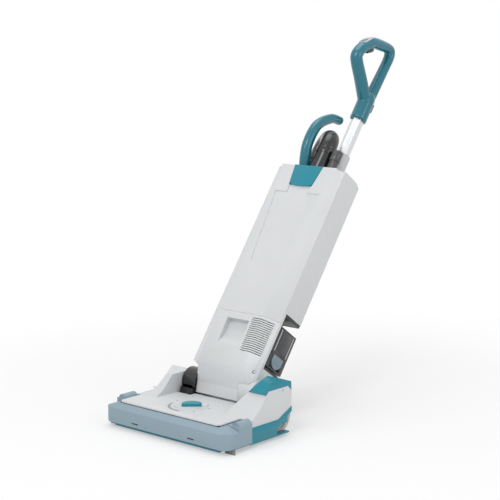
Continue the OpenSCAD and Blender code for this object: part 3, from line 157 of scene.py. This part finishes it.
class Net:
    """A material and its node tree."""

    def __init__(self, name):
        self.mat = bpy.data.materials.new(name)
        self.mat.use_nodes = True
        self.tree = self.mat.node_tree
        self.tree.nodes.clear()
        self.bsdf = self.node("ShaderNodeBsdfPrincipled")
        self.out = self.node("ShaderNodeOutputMaterial")
        self.tree.links.new(self.bsdf.outputs[0], self.out.inputs[0])
        self.at = self.node("ShaderNodeTexCoord").outputs["Object"]
        self._xyz = None

    def node(self, kind, **props):
        n = self.tree.nodes.new(kind)
        for k, v in props.items():
            setattr(n, k, v)
        return n

    def put(self, n, values):
        for k, v in values.items():
            s = n.inputs[k]
            if isinstance(v, Sock):
                self.tree.links.new(v.out, s)
            else:
                s.default_value = v

    def math(self, kind, a, b=None):
        n = self.node("ShaderNodeMath", operation=kind)
        self.put(n, {i: v for i, v in enumerate((a, b)) if v is not None})
        return Sock(self, n.outputs[0])

    def xyz(self):
        if self._xyz is None:
            n = self.node("ShaderNodeSeparateXYZ")
            self.tree.links.new(self.at, n.inputs[0])
            self._xyz = [Sock(self, o) for o in n.outputs]
        return self._xyz

    def qh(self):
        """x, q and h of the body frame, in metres."""
        x, y, z = self.xyz()
        y = y - (PIVOT_Y - SHIFT) / 1000
        z = z - PIVOT_Z / 1000
        return x, y * CS - z * SN, y * SN + z * CS

    def vec(self, x, y, z):
        n = self.node("ShaderNodeCombineXYZ")
        self.put(n, {0: x, 1: y, 2: z})
        return n.outputs[0]

    def noise(self, scale, detail=2.0, rough=0.5, at=None):
        n = self.node("ShaderNodeTexNoise")
        self.put(n, {"Scale": scale, "Detail": detail, "Roughness": rough})
        self.tree.links.new(at or self.at, n.inputs["Vector"])
        return Sock(self, n.outputs[0])

    def cells(self, scale, at=None):
        n = self.node("ShaderNodeTexVoronoi")
        self.put(n, {"Scale": scale})
        self.tree.links.new(at or self.at, n.inputs["Vector"])
        return Sock(self, n.outputs["Distance"])

    def mix(self, fac, a, b):
        n = self.node("ShaderNodeMix", data_type="RGBA")
        n.inputs[0].default_value = 0.5
        self.put(n, {0: fac})
        for i, v in ((6, a), (7, b)):
            if isinstance(v, Sock):
                self.tree.links.new(v.out, n.inputs[i])
            else:
                n.inputs[i].default_value = (*v, 1)
        return Sock(self, n.outputs[2])

    def set(self, **values):
        self.put(self.bsdf, {k.replace("_", " "): v for k, v in values.items()})

    def bump(self, height, strength, distance):
        n = self.node("ShaderNodeBump")
        self.put(n, {"Strength": strength, "Distance": distance, "Height": height})
        self.put(self.bsdf, {"Normal": Sock(self, n.outputs[0])})


def tint(c, k):
    return tuple(min(1.0, v * k) for v in c)


def plastic(name, color, rough=0.42, grain=0.12, size=1500.0, vary=0.035, coat=0.0, extra=None):
    """A moulded plastic: fine spark grain, slow drift of tone, handling sheen."""
    m = Net(name)
    slow = m.noise(7.0, 3.0)
    height = m.noise(size, 1.0)
    col = m.mix(slow.step(0.3, 0.7), tint(color, 1 - vary), tint(color, 1 + vary))
    rub = m.noise(28.0, 4.0, 0.6)
    r = rub * 0.10 + (rough - 0.05)
    if extra:
        col, height, r = extra(m, col, height, r)
    m.set(Base_Color=col, Roughness=r)
    m.bsdf.inputs["Coat Weight"].default_value = coat
    m.bsdf.inputs["Coat Roughness"].default_value = 0.12
    m.bsdf.inputs["IOR"].default_value = 1.49
    m.bump(height, grain, 0.0002)
    return m.mat


def brushed(name, color, axis, rough=0.3, metallic=1.0):
    """Metal with fine drawn lines along axis: 'x' or the body's own length 'h'."""
    m = Net(name)
    x, q, h = m.qh()
    at = m.vec(x, q, h * 0.02) if axis == "h" else m.vec(x * 0.02, q, h)
    grain = m.noise(2600.0, 2.0, 0.5, at)
    slow = m.noise(16.0, 2.0)
    m.set(Base_Color=m.mix(grain, tint(color, 0.93), tint(color, 1.04)),
          Roughness=grain * 0.16 + slow * 0.08 + (rough - 0.12))
    m.bsdf.inputs["Metallic"].default_value = metallic
    m.bump(grain, 0.08, 0.0001)
    return m.mat


def rubber(name, color, rough=0.62):
    m = Net(name)
    fine = m.noise(900.0, 3.0, 0.6)
    dust = m.noise(22.0, 4.0, 0.6).step(0.45, 0.75)
    m.set(Base_Color=m.mix(dust * 0.35, color, tuple(v * 0.8 + 0.08 for v in color)),
          Roughness=fine * 0.16 + (rough - 0.08))
    m.bump(fine, 0.3, 0.0003)
    return m.mat


def fibre(name, color, rough=0.85):
    """Filter fleece and paper: matted fibres with a soft fuzz."""
    m = Net(name)
    a = m.noise(420.0, 5.0, 0.75)
    b = m.cells(260.0)
    m.set(Base_Color=m.mix(a, tint(color, 0.88), tint(color, 1.05)), Roughness=b * 0.1 + (rough - 0.05))
    m.bsdf.inputs["Sheen Weight"].default_value = 0.25
    m.bump(a + b * 0.5, 0.45, 0.0006)
    return m.mat


WHITE = (0.640, 0.655, 0.668)
TEAL = (0.0, 0.222, 0.296)
DEEP = (0.0, 0.148, 0.205)
BUMPER = (0.268, 0.362, 0.420)


def shell_extra(m, col, height, r):
    """A breath of dust near the floor."""
    low = m.xyz()[2].step(0.0, 0.08)
    dirt = m.noise(60.0, 4.0, 0.65).step(0.5, 0.85)
    col = m.mix(dirt * (1 - low) * 0.25, col, (0.50, 0.50, 0.49))
    return col, height, r


def grip_extra(m, col, height, r):
    """The split line of the two halves, and a shine where the hand holds it."""
    seam = 1 - abs(m.xyz()[0]).step(0.00012, 0.0005)
    col = m.mix(seam * 0.75, col, (0.0, 0.05, 0.07))
    hand = m.noise(9.0, 3.0).step(0.35, 0.7)
    return col, height * (1 - seam) + seam * -3.0, r - hand * 0.05


def sole_extra(m, col, height, r):
    """Scuffs along the sides near the floor."""
    x, y, z = m.xyz()
    streak = m.noise(90.0, 3.0, 0.7, m.vec(x * 0.08, y * 0.08, z * 3.0))
    rub = streak.step(0.62, 0.78) * (1 - z.step(0.004, 0.03))
    return m.mix(rub * 0.3, col, (0.55, 0.6, 0.62)), height, r + rub * 0.2


MATS = {
    "white_plastic": plastic("white_shell", WHITE, 0.40, 0.10, 1400.0, 0.018, 0.05, shell_extra),
    "grey_plastic": plastic("grey_moulding", (0.56, 0.575, 0.59), 0.42, 0.12, 1400.0, 0.02),
    "teal_plastic": plastic("teal_moulding", TEAL, 0.34, 0.06, 1300.0, 0.03, 0.10, sole_extra),
    "teal_metal": plastic("teal_enamel", TEAL, 0.34, 0.06, 1300.0, 0.03, 0.10, sole_extra),
    "dark_teal_plastic": plastic("deep_teal_grip", DEEP, 0.28, 0.05, 1300.0, 0.03, 0.35, grip_extra),
    "bumper_plastic": plastic("bumper_soft_plastic", BUMPER, 0.52, 0.20, 1100.0, 0.02),
    "black_plastic": plastic("black_moulding", (0.012, 0.012, 0.013), 0.26, 0.06, 1300.0, 0.05, 0.25),
    "hose_plastic": plastic("hose_plastic", (0.022, 0.022, 0.024), 0.38, 0.10, 1200.0, 0.06),
    "tube_plastic": plastic("tube_plastic", (0.060, 0.063, 0.068), 0.30, 0.08, 1200.0, 0.04, 0.15),
    "button_plastic": plastic("button_blue_grey", (0.195, 0.270, 0.315), 0.36, 0.10, 1200.0, 0.03),
    "board_plastic": plastic("circuit_board", (0.015, 0.13, 0.05), 0.35, 0.2, 700.0, 0.1),
    "wheel_plastic": plastic("wheel_plastic", (0.46, 0.47, 0.475), 0.5, 0.2, 900.0, 0.03),
    "grey_rubber": rubber("flap_rubber", (0.235, 0.24, 0.245)),
    "belt_rubber": rubber("black_rubber", (0.014, 0.014, 0.015)),
    "bristle_plastic": plastic("bristle_nylon", (0.03, 0.03, 0.034), 0.35, 0.1, 1800.0, 0.1),
    "steel_plate": brushed("steel", (0.52, 0.53, 0.54), "x", 0.34),
    "motor_metal": brushed("painted_can", (0.10, 0.105, 0.11), "x", 0.42, 0.35),
    "fan_metal": brushed("cast_fan", (0.6, 0.61, 0.62), "h", 0.4),
    "pole_aluminium": brushed("drawn_aluminium", (0.70, 0.715, 0.73), "h", 0.30),
    "filter_paper": fibre("filter_fleece", (0.82, 0.82, 0.80)),
    "bag_fabric": fibre("bag_fleece", (0.74, 0.70, 0.62)),
    "collar_card": fibre("collar_card", (0.48, 0.42, 0.32), 0.8),
}
DARK = plastic("dark_inlay", (0.008, 0.008, 0.009), 0.5, 0.1)
PRINT = plastic("grey_marking", (0.30, 0.31, 0.32), 0.5, 0.05)
RAIL = plastic("light_rail", (0.40, 0.41, 0.42), 0.35, 0.1)
LABEL = plastic("blank_label", (0.035, 0.037, 0.040), 0.22, 0.02, 1200.0, 0.05, 0.3)

# the material slot and the body of each node
SLOT = {s["node"]: s["material_slot"] for s in frame["record"]["subparts"]}
BODY = {n: b for b, ns in frame["record"]["behaviour"]["bodies"].items() for n in ns}


# ---------- making pieces ----------
def finish_mesh(obj, sharp=35.0):
    for p in obj.data.polygons:
        p.use_smooth = True
    obj.data.set_sharp_from_angle(angle=math.radians(sharp))


def piece(name, bm, mat, on, replaces=(), sharp=35.0):
    """A finished object from bm, riding on a body and standing for the CAD nodes it replaces."""
    me = bpy.data.meshes.new(name)
    bmesh.ops.recalc_face_normals(bm, faces=bm.faces)
    bm.to_mesh(me)
    bm.free()
    obj = bpy.data.objects.new(name, me)
    bpy.context.collection.objects.link(obj)
    me.materials.append(mat)
    finish_mesh(obj, sharp)
    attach(obj, on)
    if replaces:
        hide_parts(*replaces)
    return obj


def with_modifiers(obj, *mods):
    """Applies modifiers, given as (type, settings)."""
    for kind, props in mods:
        m = obj.modifiers.new(kind.lower(), kind)
        for k, v in props.items():
            setattr(m, k, v)
    shot = obj.evaluated_get(bpy.context.evaluated_depsgraph_get())
    me = bpy.data.meshes.new_from_object(shot)
    obj.modifiers.clear()
    old, obj.data = obj.data, me
    bpy.data.meshes.remove(old)
    return obj


def only_material(obj, mat):
    """One material on the whole object, after a modifier has rebuilt its mesh."""
    obj.data.materials.clear()
    obj.data.materials.append(mat)
    for p in obj.data.polygons:
        p.material_index = 0


def softened(node, width, segments=3, angle=28.0):
    """A copy of a CAD node with its edges rounded, standing for it."""
    src = frame["nodes"][node]
    bm = bmesh.new()
    bm.from_mesh(src.data)
    bmesh.ops.remove_doubles(bm, verts=bm.verts, dist=2e-5)
    bmesh.ops.dissolve_limit(bm, angle_limit=math.radians(0.4), verts=bm.verts, edges=bm.edges)
    obj = piece("soft_" + node, bm, MATS[SLOT[node]], BODY[node], (node,), 180.0)
    with_modifiers(obj, ("BEVEL", dict(width=width / 1000, segments=segments, limit_method="ANGLE",
                                       angle_limit=math.radians(angle), harden_normals=True,
                                       use_clamp_overlap=True)))


def move_to(bm, place):
    """Takes every vertex from millimetres of a frame to its place."""
    for v in bm.verts:
        v.co = place(*v.co)


def rounded_box(name, place, lo, hi, r, mat, on, segments=3):
    """A box between lo and hi, in mm of the frame that place maps, with rounded edges."""
    bm = bmesh.new()
    bmesh.ops.create_cube(bm, size=1.0)
    for v in bm.verts:
        v.co = Vector([l + (c + 0.5) * (h - l) for c, l, h in zip(v.co, lo, hi)])
    bmesh.ops.bevel(bm, geom=bm.edges, offset=r, segments=segments, profile=0.5, affect="EDGES", material=-1)
    move_to(bm, place)
    return piece(name, bm, mat, on)


def arc_points(cx, cy, r, a0, a1, n):
    """The n + 1 points of an arc about (cx, cy), from a0 to a1 degrees."""
    angles = [math.radians(a0 + (a1 - a0) * i / n) for i in range(n + 1)]
    return [(cx + r * math.cos(a), cy + r * math.sin(a)) for a in angles]


def draw_out(bm, outline, low, high):
    """A solid from an outline at height low, drawn out to high."""
    base = bm.faces.new([bm.verts.new((u, v, low)) for u, v in outline])
    drawn = bmesh.ops.extrude_face_region(bm, geom=[base])["geom"]
    cap = next(g for g in drawn if isinstance(g, bmesh.types.BMFace))
    bmesh.ops.translate(bm, verts=list(cap.verts), vec=(0, 0, high - low))


def slab(name, place, outline, low, high, r, mat, on, replaces=(), segments=3):
    """An outline drawn out from low to high, with its far edge rounded. Its faces aren't
    extruded, because the same bevel then gives another rounding."""
    bm = bmesh.new()
    base = [bm.verts.new((u, v, low)) for u, v in outline]
    top = [bm.verts.new((u, v, high)) for u, v in outline]
    bm.faces.new(base[::-1])
    cap = bm.faces.new(top)
    for a, b, c, d in zip(base, base[1:] + base[:1], top[1:] + top[:1], top):
        bm.faces.new((a, b, c, d))
    bmesh.ops.bevel(bm, geom=list(cap.edges), offset=r, segments=segments, profile=0.5, affect="EDGES",
                    clamp_overlap=True, material=-1)
    move_to(bm, place)
    return piece(name, bm, mat, on, replaces, 40)


def smooth_path(points, steps=8):
    """A smooth curve through points of any size."""
    pts = [Vector(p) for p in points]
    pts = [2 * pts[0] - pts[1]] + pts + [2 * pts[-1] - pts[-2]]
    out = []
    for i in range(1, len(pts) - 2):
        a, b, c, d = pts[i - 1:i + 3]
        for k in range(steps):
            t = k / steps
            bend = (2 * a - 5 * b + 4 * c - d) * t * t + (3 * b - a - 3 * c + d) * t ** 3
            out.append(0.5 * (2 * b + (c - a) * t + bend))
    return out + [pts[-2]]


def tube(bm, rings, sides=32, caps=True):
    """A skin over rings of (centre, across, up, half width, half height)."""
    loops = []
    for i, (centre, across, up, wide, high) in enumerate(rings):
        ends = caps and i in (0, len(rings) - 1)
        along = across.cross(up)
        turn = Matrix((across * wide, up * high, along)).transposed().to_4x4()
        made = bmesh.ops.create_circle(bm, cap_ends=ends, segments=sides, radius=1.0,
                                       matrix=Matrix.Translation(centre) @ turn)["verts"]
        ring = set(made)
        loops.append([e for e in bm.edges if e.verts[0] in ring and e.verts[1] in ring])
    for a, b in zip(loops, loops[1:]):
        bmesh.ops.bridge_loops(bm, edges=a + b)


def plane_bar(bm, x, points, steps, sides=32, round_end=True):
    """A bar in the plane x, through (q, h, half width across, half width in the plane)."""
    path = smooth_path(points, steps)
    rings = []
    n = len(path)
    for i, p in enumerate(path):
        a, b = path[max(i - 1, 0)], path[min(i + 1, n - 1)]
        d = Vector((0, b[0] - a[0], b[1] - a[1])).normalized()
        rings.append([Vector((x, p[0], p[1])), ACROSS, Vector((0, -d[2], d[1])), p[2], p[3], d])
    if round_end:
        for end, sign in ((0, -1), (-1, 1)):
            c, u, v, rx, rn, d = rings[end]
            extra = []
            for t in (0.5, 0.95, 1.3, 1.57):
                shrink = 0.55 + 0.45 * math.cos(t)
                extra.append([c + d * sign * rn * 0.45 * math.sin(t), u, v, rx * shrink, rn * shrink, d])
            rings = (extra[::-1] + rings) if end == 0 else rings + extra
    tube(bm, [r[:5] for r in rings], sides)


# ---------- pieces that stand for CAD nodes ----------
def make_hose():
    """The ribbed hose: one profile spun about its own line."""
    low, high = 206.2, 588.0
    x, q = -45, 31
    bore, wall, crest, groove = 16.5, 1.4, 20.0, 2.6
    end = 8
    ribs, steps, sides = 64, 8, 40
    long = high - low
    pitch = (long - 2 * end) / ribs
    prof = [(bore, 0), (bore + wall, 0), (bore + wall, end - 0.5)]
    for i in range(ribs):
        for k in range(steps):
            t = k / steps
            dip = (0.5 - 0.5 * math.cos(2 * math.pi * t)) ** 1.4
            prof.append((crest - groove * dip, end + (i + t + 0.2) * pitch * 0.985))
    prof += [(bore + wall, long - end + 1), (bore + wall, long), (bore, long)]
    bm = bmesh.new()
    line = [bm.verts.new((x + r, q, low + h)) for r, h in prof]
    edges = [bm.edges.new((a, b)) for a, b in zip(line, line[1:] + line[:1])]
    bmesh.ops.spin(bm, geom=line + edges, cent=(x, q, 0), axis=(0, 0, 1), angle=2 * math.pi, steps=sides,
                   use_merge=True)
    bmesh.ops.remove_doubles(bm, verts=bm.verts, dist=1e-4)
    move_to(bm, body)
    piece("corrugated_hose", bm, MATS["hose_plastic"], "upper", ("ribbed_hose",), 50)


# where the pole and the grip stand, and the middle and slope of the panel for the switches
POLE_Q = 54
PANEL_Q, PANEL_H, PANEL_SLOPE = -20.5, 874.0, math.radians(53.67)
GRIP_LOOP = [(50, 764, 16, 15), (6, 796, 15.5, 14.5), (-30, 820, 15, 14), (-40, 833, 15, 13.6),
             (-35, 854, 15, 13.5), (-20.5, 874, 15, 13.5), (-6, 890, 15, 13.5), (26, 905, 14.6, 13),
             (54, 915, 14, 11.8), (65, 908, 13.8, 11.4), (68, 892, 13.7, 11.2), (66.5, 862, 13.7, 11.4),
             (63, 800, 14.5, 12.2), (61, 768, 15, 12.5)]
GRIP_NECK = [(714, 19.2), (716, 20), (760, 20), (774, 19.6), (782, 17.5), (788, 14)]


def panel(x, u, n):
    """A place on the switch panel: u along it, n out of it."""
    sn, cs = math.sin(PANEL_SLOPE), math.cos(PANEL_SLOPE)
    return body(x, PANEL_Q + u * cs - n * sn, PANEL_H + u * sn + n * cs)


def cut_box(bm, place, lo, hi):
    for v in bmesh.ops.create_cube(bm, size=1.0)["verts"]:
        v.co = place(*[l + (c + 0.5) * (h - l) for c, l, h in zip(v.co, lo, hi)])


def grip_cuts():
    """What is taken out of the grip: panel, two buttons, trigger, tube lock and the six-sided pole."""
    bm = bmesh.new()
    cut_box(bm, panel, (-10.2, -17.2, 11.0), (10.2, 17.2, 24))
    for k in (-8, 8):
        cut_box(bm, panel, (-6.9, k - 6.9, 8.8), (6.9, k + 6.9, 12))
    cut_box(bm, panel, (-6.4, -10.6, -30), (6.4, 14.6, -6))
    cut_box(bm, body, (-9.4, 70.6, 749.6), (9.4, 100, 772.4))
    corners = [(16.1 * math.sin(math.radians(60 * i)), POLE_Q + 16.1 * math.cos(math.radians(60 * i)))
               for i in range(6)]
    hole = bmesh.new()
    draw_out(hole, corners, 700, 754)
    move_to(hole, body)
    part = bpy.data.meshes.new("pole_hole")
    hole.to_mesh(part)
    hole.free()
    bm.from_mesh(part)
    bpy.data.meshes.remove(part)
    bmesh.ops.recalc_face_normals(bm, faces=bm.faces)
    return bm


def make_grip():
    """Loop grip, blended from its bars, then cut for the switches, the trigger and the pole."""
    bm = bmesh.new()
    plane_bar(bm, 0, GRIP_LOOP, 8)
    tube(bm, [(Vector((0, POLE_Q, h)), ACROSS, BACK, r, r) for h, r in GRIP_NECK], 40)
    move_to(bm, body)
    obj = piece("grip_shell", bm, MATS["dark_teal_plastic"], "handle",
                ("grip_left", "grip_right"), 180)
    with_modifiers(obj, ("REMESH", dict(mode="VOXEL", voxel_size=0.0014, use_smooth_shade=True)),
                   ("SMOOTH", dict(factor=0.5, iterations=5)))
    me = bpy.data.meshes.new("cuts")
    cuts = grip_cuts()
    cuts.to_mesh(me)
    cuts.free()
    knife = bpy.data.objects.new("cuts", me)
    bpy.context.collection.objects.link(knife)
    with_modifiers(obj, ("BOOLEAN", dict(object=knife, operation="DIFFERENCE", solver="EXACT",
                                         use_self=True)))
    bpy.data.objects.remove(knife)
    only_material(obj, MATS["dark_teal_plastic"])
    finish_mesh(obj, 32)
    rounded_box("panel_line", panel, (-8.5, -0.7, 14.2), (8.5, 0.7, 14.75), 0.2, DARK, "handle")


CARRY_X = -29
CARRY_BAR = [(-17, 528, 13, 13), (-18.5, 541, 12.9, 13), (-29, 560, 12.6, 12.8), (-38, 582, 12.5, 12.6),
             (-40.5, 600, 12.5, 12.5), (-40, 620, 12.4, 12.4), (-35.5, 640, 12.3, 12.3),
             (-24, 658, 12.0, 12.0), (-8, 675, 11.8, 11.6), (6, 686, 11.5, 11.0), (30, 695.5, 11.0, 10.2)]


def make_carry_handle():
    """The hooked bar beside the hose, with a screw near its cut end."""
    bm = bmesh.new()
    plane_bar(bm, CARRY_X, CARRY_BAR, 8, 32, False)
    move_to(bm, body)
    obj = piece("carry_handle_bar", bm, MATS["dark_teal_plastic"], "upper",
                ("carry_handle",), 180)
    with_modifiers(obj, ("BEVEL", dict(width=0.002, segments=3, limit_method="ANGLE",
                                       angle_limit=math.radians(50), use_clamp_overlap=True)))
    finish_mesh(obj, 60)
    dot = bmesh.new()
    bmesh.ops.create_cone(dot, cap_ends=True, segments=20, radius1=1.6, radius2=1.4, depth=1.2)
    move_to(dot, lambda x, y, z: body(CARRY_X + 11.0 + z, 23 + x, 692 + y))
    piece("handle_screw", dot, DARK, "upper")


ROLLER_Y, ROLLER_Z = 41, 26


def make_bristles():
    """Four curved rows of tufts on the roller, each tuft of separate strands."""
    bm = bmesh.new()
    rows, tufts, strands = 4, 30, 5
    half, root, reach = 125, 13.6, 25
    for j in range(rows):
        for i in range(tufts):
            t = (i + 0.5) / tufts * 2 - 1
            a = math.radians(j * 90 + 35 * abs(t))
            for _ in range(strands):
                dx, da = random.uniform(-1.6, 1.6), random.uniform(-0.07, 0.07)
                sa, ca = math.sin(a + da), math.cos(a + da)
                r1 = reach - random.uniform(0.1, 1.0)
                base = Vector((t * half + dx * 0.6, -sa * root, ca * root))
                tip = Vector((t * half + dx * 1.5, -sa * r1, ca * r1))
                turn = (tip - base).to_track_quat("Z", "Y").to_matrix().to_4x4()
                bmesh.ops.create_cone(bm, cap_ends=True, segments=4, radius1=0.45, radius2=0.3,
                                      depth=(tip - base).length,
                                      matrix=Matrix.Translation((base + tip) / 2) @ turn)
    move_to(bm, lambda x, y, z: head(x, ROLLER_Y + y, ROLLER_Z + z))
    sleeve = bmesh.new()
    profile = [(-129, 13.56), (-129, 14.8), (-128.5, 15), (128.5, 15), (129, 14.8), (129, 13.56),
               (-129, 13.56)]
    tube(sleeve, [(Vector((x, ROLLER_Y, ROLLER_Z)), BACK, UP, r, r) for x, r in profile], 40, False)
    bmesh.ops.remove_doubles(sleeve, verts=sleeve.verts, dist=1e-4)
    move_to(sleeve, head)
    piece("bristle_sleeve", sleeve, MATS["bristle_plastic"], "roller", ("brush_bristles",))
    piece("bristles", bm, MATS["bristle_plastic"], "roller", ("brush_bristles",))


def make_bag():
    """The fleece bag in its chamber: a full, lightly creased sack under its neck."""
    x0, x1, q0, q1, h0, h1 = -82.0, 82.0, -26.0, 7.4, 203.0, 386.0
    mid, half = (q0 + q1) / 2, (q1 - q0) / 2 - 1.2
    nx, nh = 26, 40
    bm = bmesh.new()
    for side in (-1, 1):
        sheet = {}
        for i in range(nx + 1):
            for j in range(nh + 1):
                u, w = i / nx, j / nh
                edge = min(u, 1 - u) * 2, min(w, 1 - w) * 2
                puff = (1 - (1 - min(1, edge[0] * 3.2)) ** 2) * (1 - (1 - min(1, edge[1] * 4.0)) ** 2)
                crease = 0.9 * math.sin(w * 23 + 3 * math.sin(u * 7)) * puff * 0.5
                crease += 0.7 * math.sin(u * 31 + w * 9) * puff * 0.4
                q = mid + (half * puff + crease * 0.8) * side
                sheet[i, j] = bm.verts.new((x0 + (x1 - x0) * u, q, h0 + (h1 - h0) * w))
        for i in range(nx):
            for j in range(nh):
                face = [sheet[i, j], sheet[i + 1, j], sheet[i + 1, j + 1], sheet[i, j + 1]]
                bm.faces.new(face[::-side])
    bmesh.ops.remove_doubles(bm, verts=bm.verts, dist=2e-3)
    neck = [(372, 46, 13), (392, 50, 14), (440, 52, 14.6), (490, 52, 14.4), (508, 48, 13.6), (512, 44, 12.5)]
    tube(bm, [(Vector((-28, -10, h)), ACROSS, BACK, rx, rq) for h, rx, rq in neck], 36)
    move_to(bm, body)
    obj = piece("fleece_bag", bm, MATS["bag_fabric"], "upper", ("dust_bag",), 180)
    with_modifiers(obj, ("REMESH", dict(mode="VOXEL", voxel_size=0.0022, use_smooth_shade=True)),
                   ("SMOOTH", dict(factor=0.5, iterations=6)))
    only_material(obj, MATS["bag_fabric"])
    finish_mesh(obj, 180)


DECK_Z, DIAL_Y = 57, 80


def make_dial():
    """White disc with a teal half-moon knob, on its shaft."""
    slab("dial_disc", head, arc_points(0, DIAL_Y, 31, 0, 354, 59), DECK_Z + 0.3, DECK_Z + 1.9, 0.5,
         MATS["white_plastic"], "dial", ("height_dial",))
    slab("dial_shaft", head, arc_points(0, DIAL_Y, 6, 0, 345, 23), 22.5, DECK_Z + 0.5, 0.3,
         MATS["grey_plastic"], "dial", ("height_dial",))
    slab("dial_knob", head, arc_points(12, DIAL_Y - 6, 21, 41, 221, 30), DECK_Z + 1.8, DECK_Z + 8.8, 2.2,
         MATS["teal_plastic"], "dial", ("height_dial",), 4)


def pack_place(s):
    """The body's frame for a pack: s is -1 at the left and 1 at the right, where x is mirrored."""
    return lambda x, q, h: body(s * x, q, h)


def make_pack_buttons():
    """Release buttons with a rounded lower end and three ribs."""
    lower_end = arc_points(15.6, 84, 17.8, 200, 340, 18)
    outline = [(-2.2, 94.2), (-2.2, 78)] + lower_end + [(33.4, 78), (33.4, 94.2)]
    for s, side in SIDES:
        slab("release_" + side, lambda q, h, x, s=s: body(s * x, q, h), outline, 88.5, 94.7, 1.6,
             MATS["button_plastic"], "release_" + side, ("pack_button_" + side,), 4)
        for k in range(3):
            rounded_box("button_rib", pack_place(s), (94.3, 4 + k * 8.6, 74), (95.1, 6.4 + k * 8.6, 88), 0.3,
                        MATS["button_plastic"], "release_" + side, 2)


def make_latch():
    """Latch plate with a lower edge that bows down."""
    front, door_h, top_h = -48.0, 157, 534
    slope = (48.0 - 37.0) / (top_h - door_h)

    def at(x, h, n):
        return body(x, front + (h - door_h) * slope - n, h)
    low = [(32 * math.cos(a), 486.5 + 5.5 * math.sin(a)) for a in map(math.radians, range(180, 361, 15))]
    outline = [(-40, top_h + 0.5)] + low + [(40, top_h + 0.5)]
    slab("latch_plate", at, outline, -2.4, 1.4, 1.3, MATS["teal_plastic"], "latch",
         ("door_latch",), 4)


# the rounding of each node's edges, in mm, and the steps of that rounding
ROUNDED = {"bumper": (3.5, 4), "head_cover": (2.4, 4), "side_cap": (2.0, 3), "head_base": (0.7, 2),
           "lower_cover": (1.0, 2), "bag_door": (1.0, 3), "rear_shell": (0.8, 2), "battery_left": (1.2, 2),
           "battery_right": (1.2, 2), "switch_panel": (0.8, 2), "power_button": (1.0, 3),
           "mode_button": (1.0, 3), "tube_lock": (1.6, 3), "recline_pedal": (1.2, 3), "trigger": (1.2, 3),
           "top_plate": (0.5, 2), "inlet_cuff": (1.2, 3), "hose_elbow": (3.0, 4), "pole_sleeve": (1.0, 3),
           "tool_tube": (0.8, 2), "tool_holder": (0.5, 2), "dial_ring": (0.6, 2), "pole_tube": (0.8, 3),
           "rear_wheel_left": (1.2, 3), "rear_wheel_right": (1.2, 3), "front_wheels": (1.0, 3),
           "battery_bays": (0.6, 2), "edge_brushes": (0.3, 2)}


def make_bumper_dashes():
    for c in (-82, 78):
        for k in (-5.6, 0, 5.6):
            rounded_box("bumper_dash", head, (c + k - 2.2, 1.0, 18.3), (c + k + 2.2, 3.4, 20.2), 0.4, DARK,
                        "head", 2)


def make_dial_marks():
    """Round the dial: an arc at the left and front, and three dashes."""
    bm = bmesh.new()
    dashes = [(r, r + 7, a, a + 2.8, 1) for a, r in ((163, 49), (323, 44), (14, 43))]
    marks = [(40.5, 45.5, 188, 284, 24)] + dashes
    for r0, r1, a0, a1, n in marks:
        outline = arc_points(0, DIAL_Y, r1, a0, a1, n) + arc_points(0, DIAL_Y, r0, a1, a0, n)
        draw_out(bm, outline, DECK_Z - 0.1, DECK_Z + 0.2)
    move_to(bm, head)
    piece("dial_marks", bm, PRINT, "head")


def make_dial_dome():
    """The low white dome behind the knob."""
    bm = bmesh.new()
    turns = [k / 8 * math.pi / 2 for k in range(9)]
    tube(bm, [(Vector((18, 104, DECK_Z + 1.2 + 3.4 * math.sin(t))), ACROSS, BACK,
               11 * math.cos(t) + 0.02, 11 * math.cos(t) + 0.02) for t in turns], 40)
    move_to(bm, head)
    piece("dial_dome", bm, MATS["white_plastic"], "head")


def make_deck_dots():
    """Two small dots on the deck behind the dial."""
    for x, y in ((-45, 139), (30, 139)):
        bm = bmesh.new()
        steps = ((-0.1, 1.6), (0.25, 1.5), (0.3, 1.1))
        tube(bm, [(Vector((x, y, DECK_Z + z)), ACROSS, BACK, r, r) for z, r in steps], 16)
        move_to(bm, head)
        piece("deck_dot", bm, PRINT, "head")


def make_pack_faces():
    """Two light rails and a blank label on each pack."""
    for s, side in SIDES:
        for q in (-8, 36.5):
            rounded_box("pack_rail", pack_place(s), (92.6, q, 100), (93.5, q + 3.4, 150), 0.4, RAIL,
                        "pack_" + side, 2)
        rounded_box("pack_label", pack_place(s), (92.7, -2.5, 104), (93.25, 34, 150), 0.25, LABEL,
                    "pack_" + side, 2)


def make_floor():
    """A plain pale floor that fades to white away from the cleaner."""
    bm = bmesh.new()
    bmesh.ops.create_grid(bm, x_segments=1, y_segments=1, size=12)
    me = bpy.data.meshes.new("floor")
    bm.to_mesh(me)
    bm.free()
    obj = bpy.data.objects.new("floor", me)
    bpy.context.collection.objects.link(obj)
    m = Net("pale_floor")
    n = m.noise(5.0, 3.0)
    m.set(Base_Color=m.mix(n, (0.90, 0.90, 0.90), (0.92, 0.92, 0.92)), Roughness=n * 0.1 + 0.7)
    x, y, _ = m.xyz()
    far = ((x * x + y * y).power(0.5)).step(0.30, 1.15)
    rays = Sock(m, background_rays(m.tree))
    glow = m.node("ShaderNodeEmission")
    both = m.node("ShaderNodeMixShader")
    m.put(both, {0: rays * (far * 0.62 + 0.38)})
    m.tree.links.new(m.bsdf.outputs[0], both.inputs[1])
    m.tree.links.new(glow.outputs[0], both.inputs[2])
    m.tree.links.new(both.outputs[0], m.out.inputs[0])
    me.materials.append(m.mat)


make_camera()
make_light()
for node, obj in frame["nodes"].items():
    obj.data.materials.clear()
    obj.data.materials.append(MATS[SLOT[node]])
make_hose()
make_grip()
make_carry_handle()
make_bristles()
make_bag()
make_dial()
make_pack_buttons()
make_latch()
for node, (width, segments) in ROUNDED.items():
    softened(node, width, segments)
make_bumper_dashes()
make_dial_marks()
make_dial_dome()
make_deck_dots()
make_pack_faces()
make_floor()
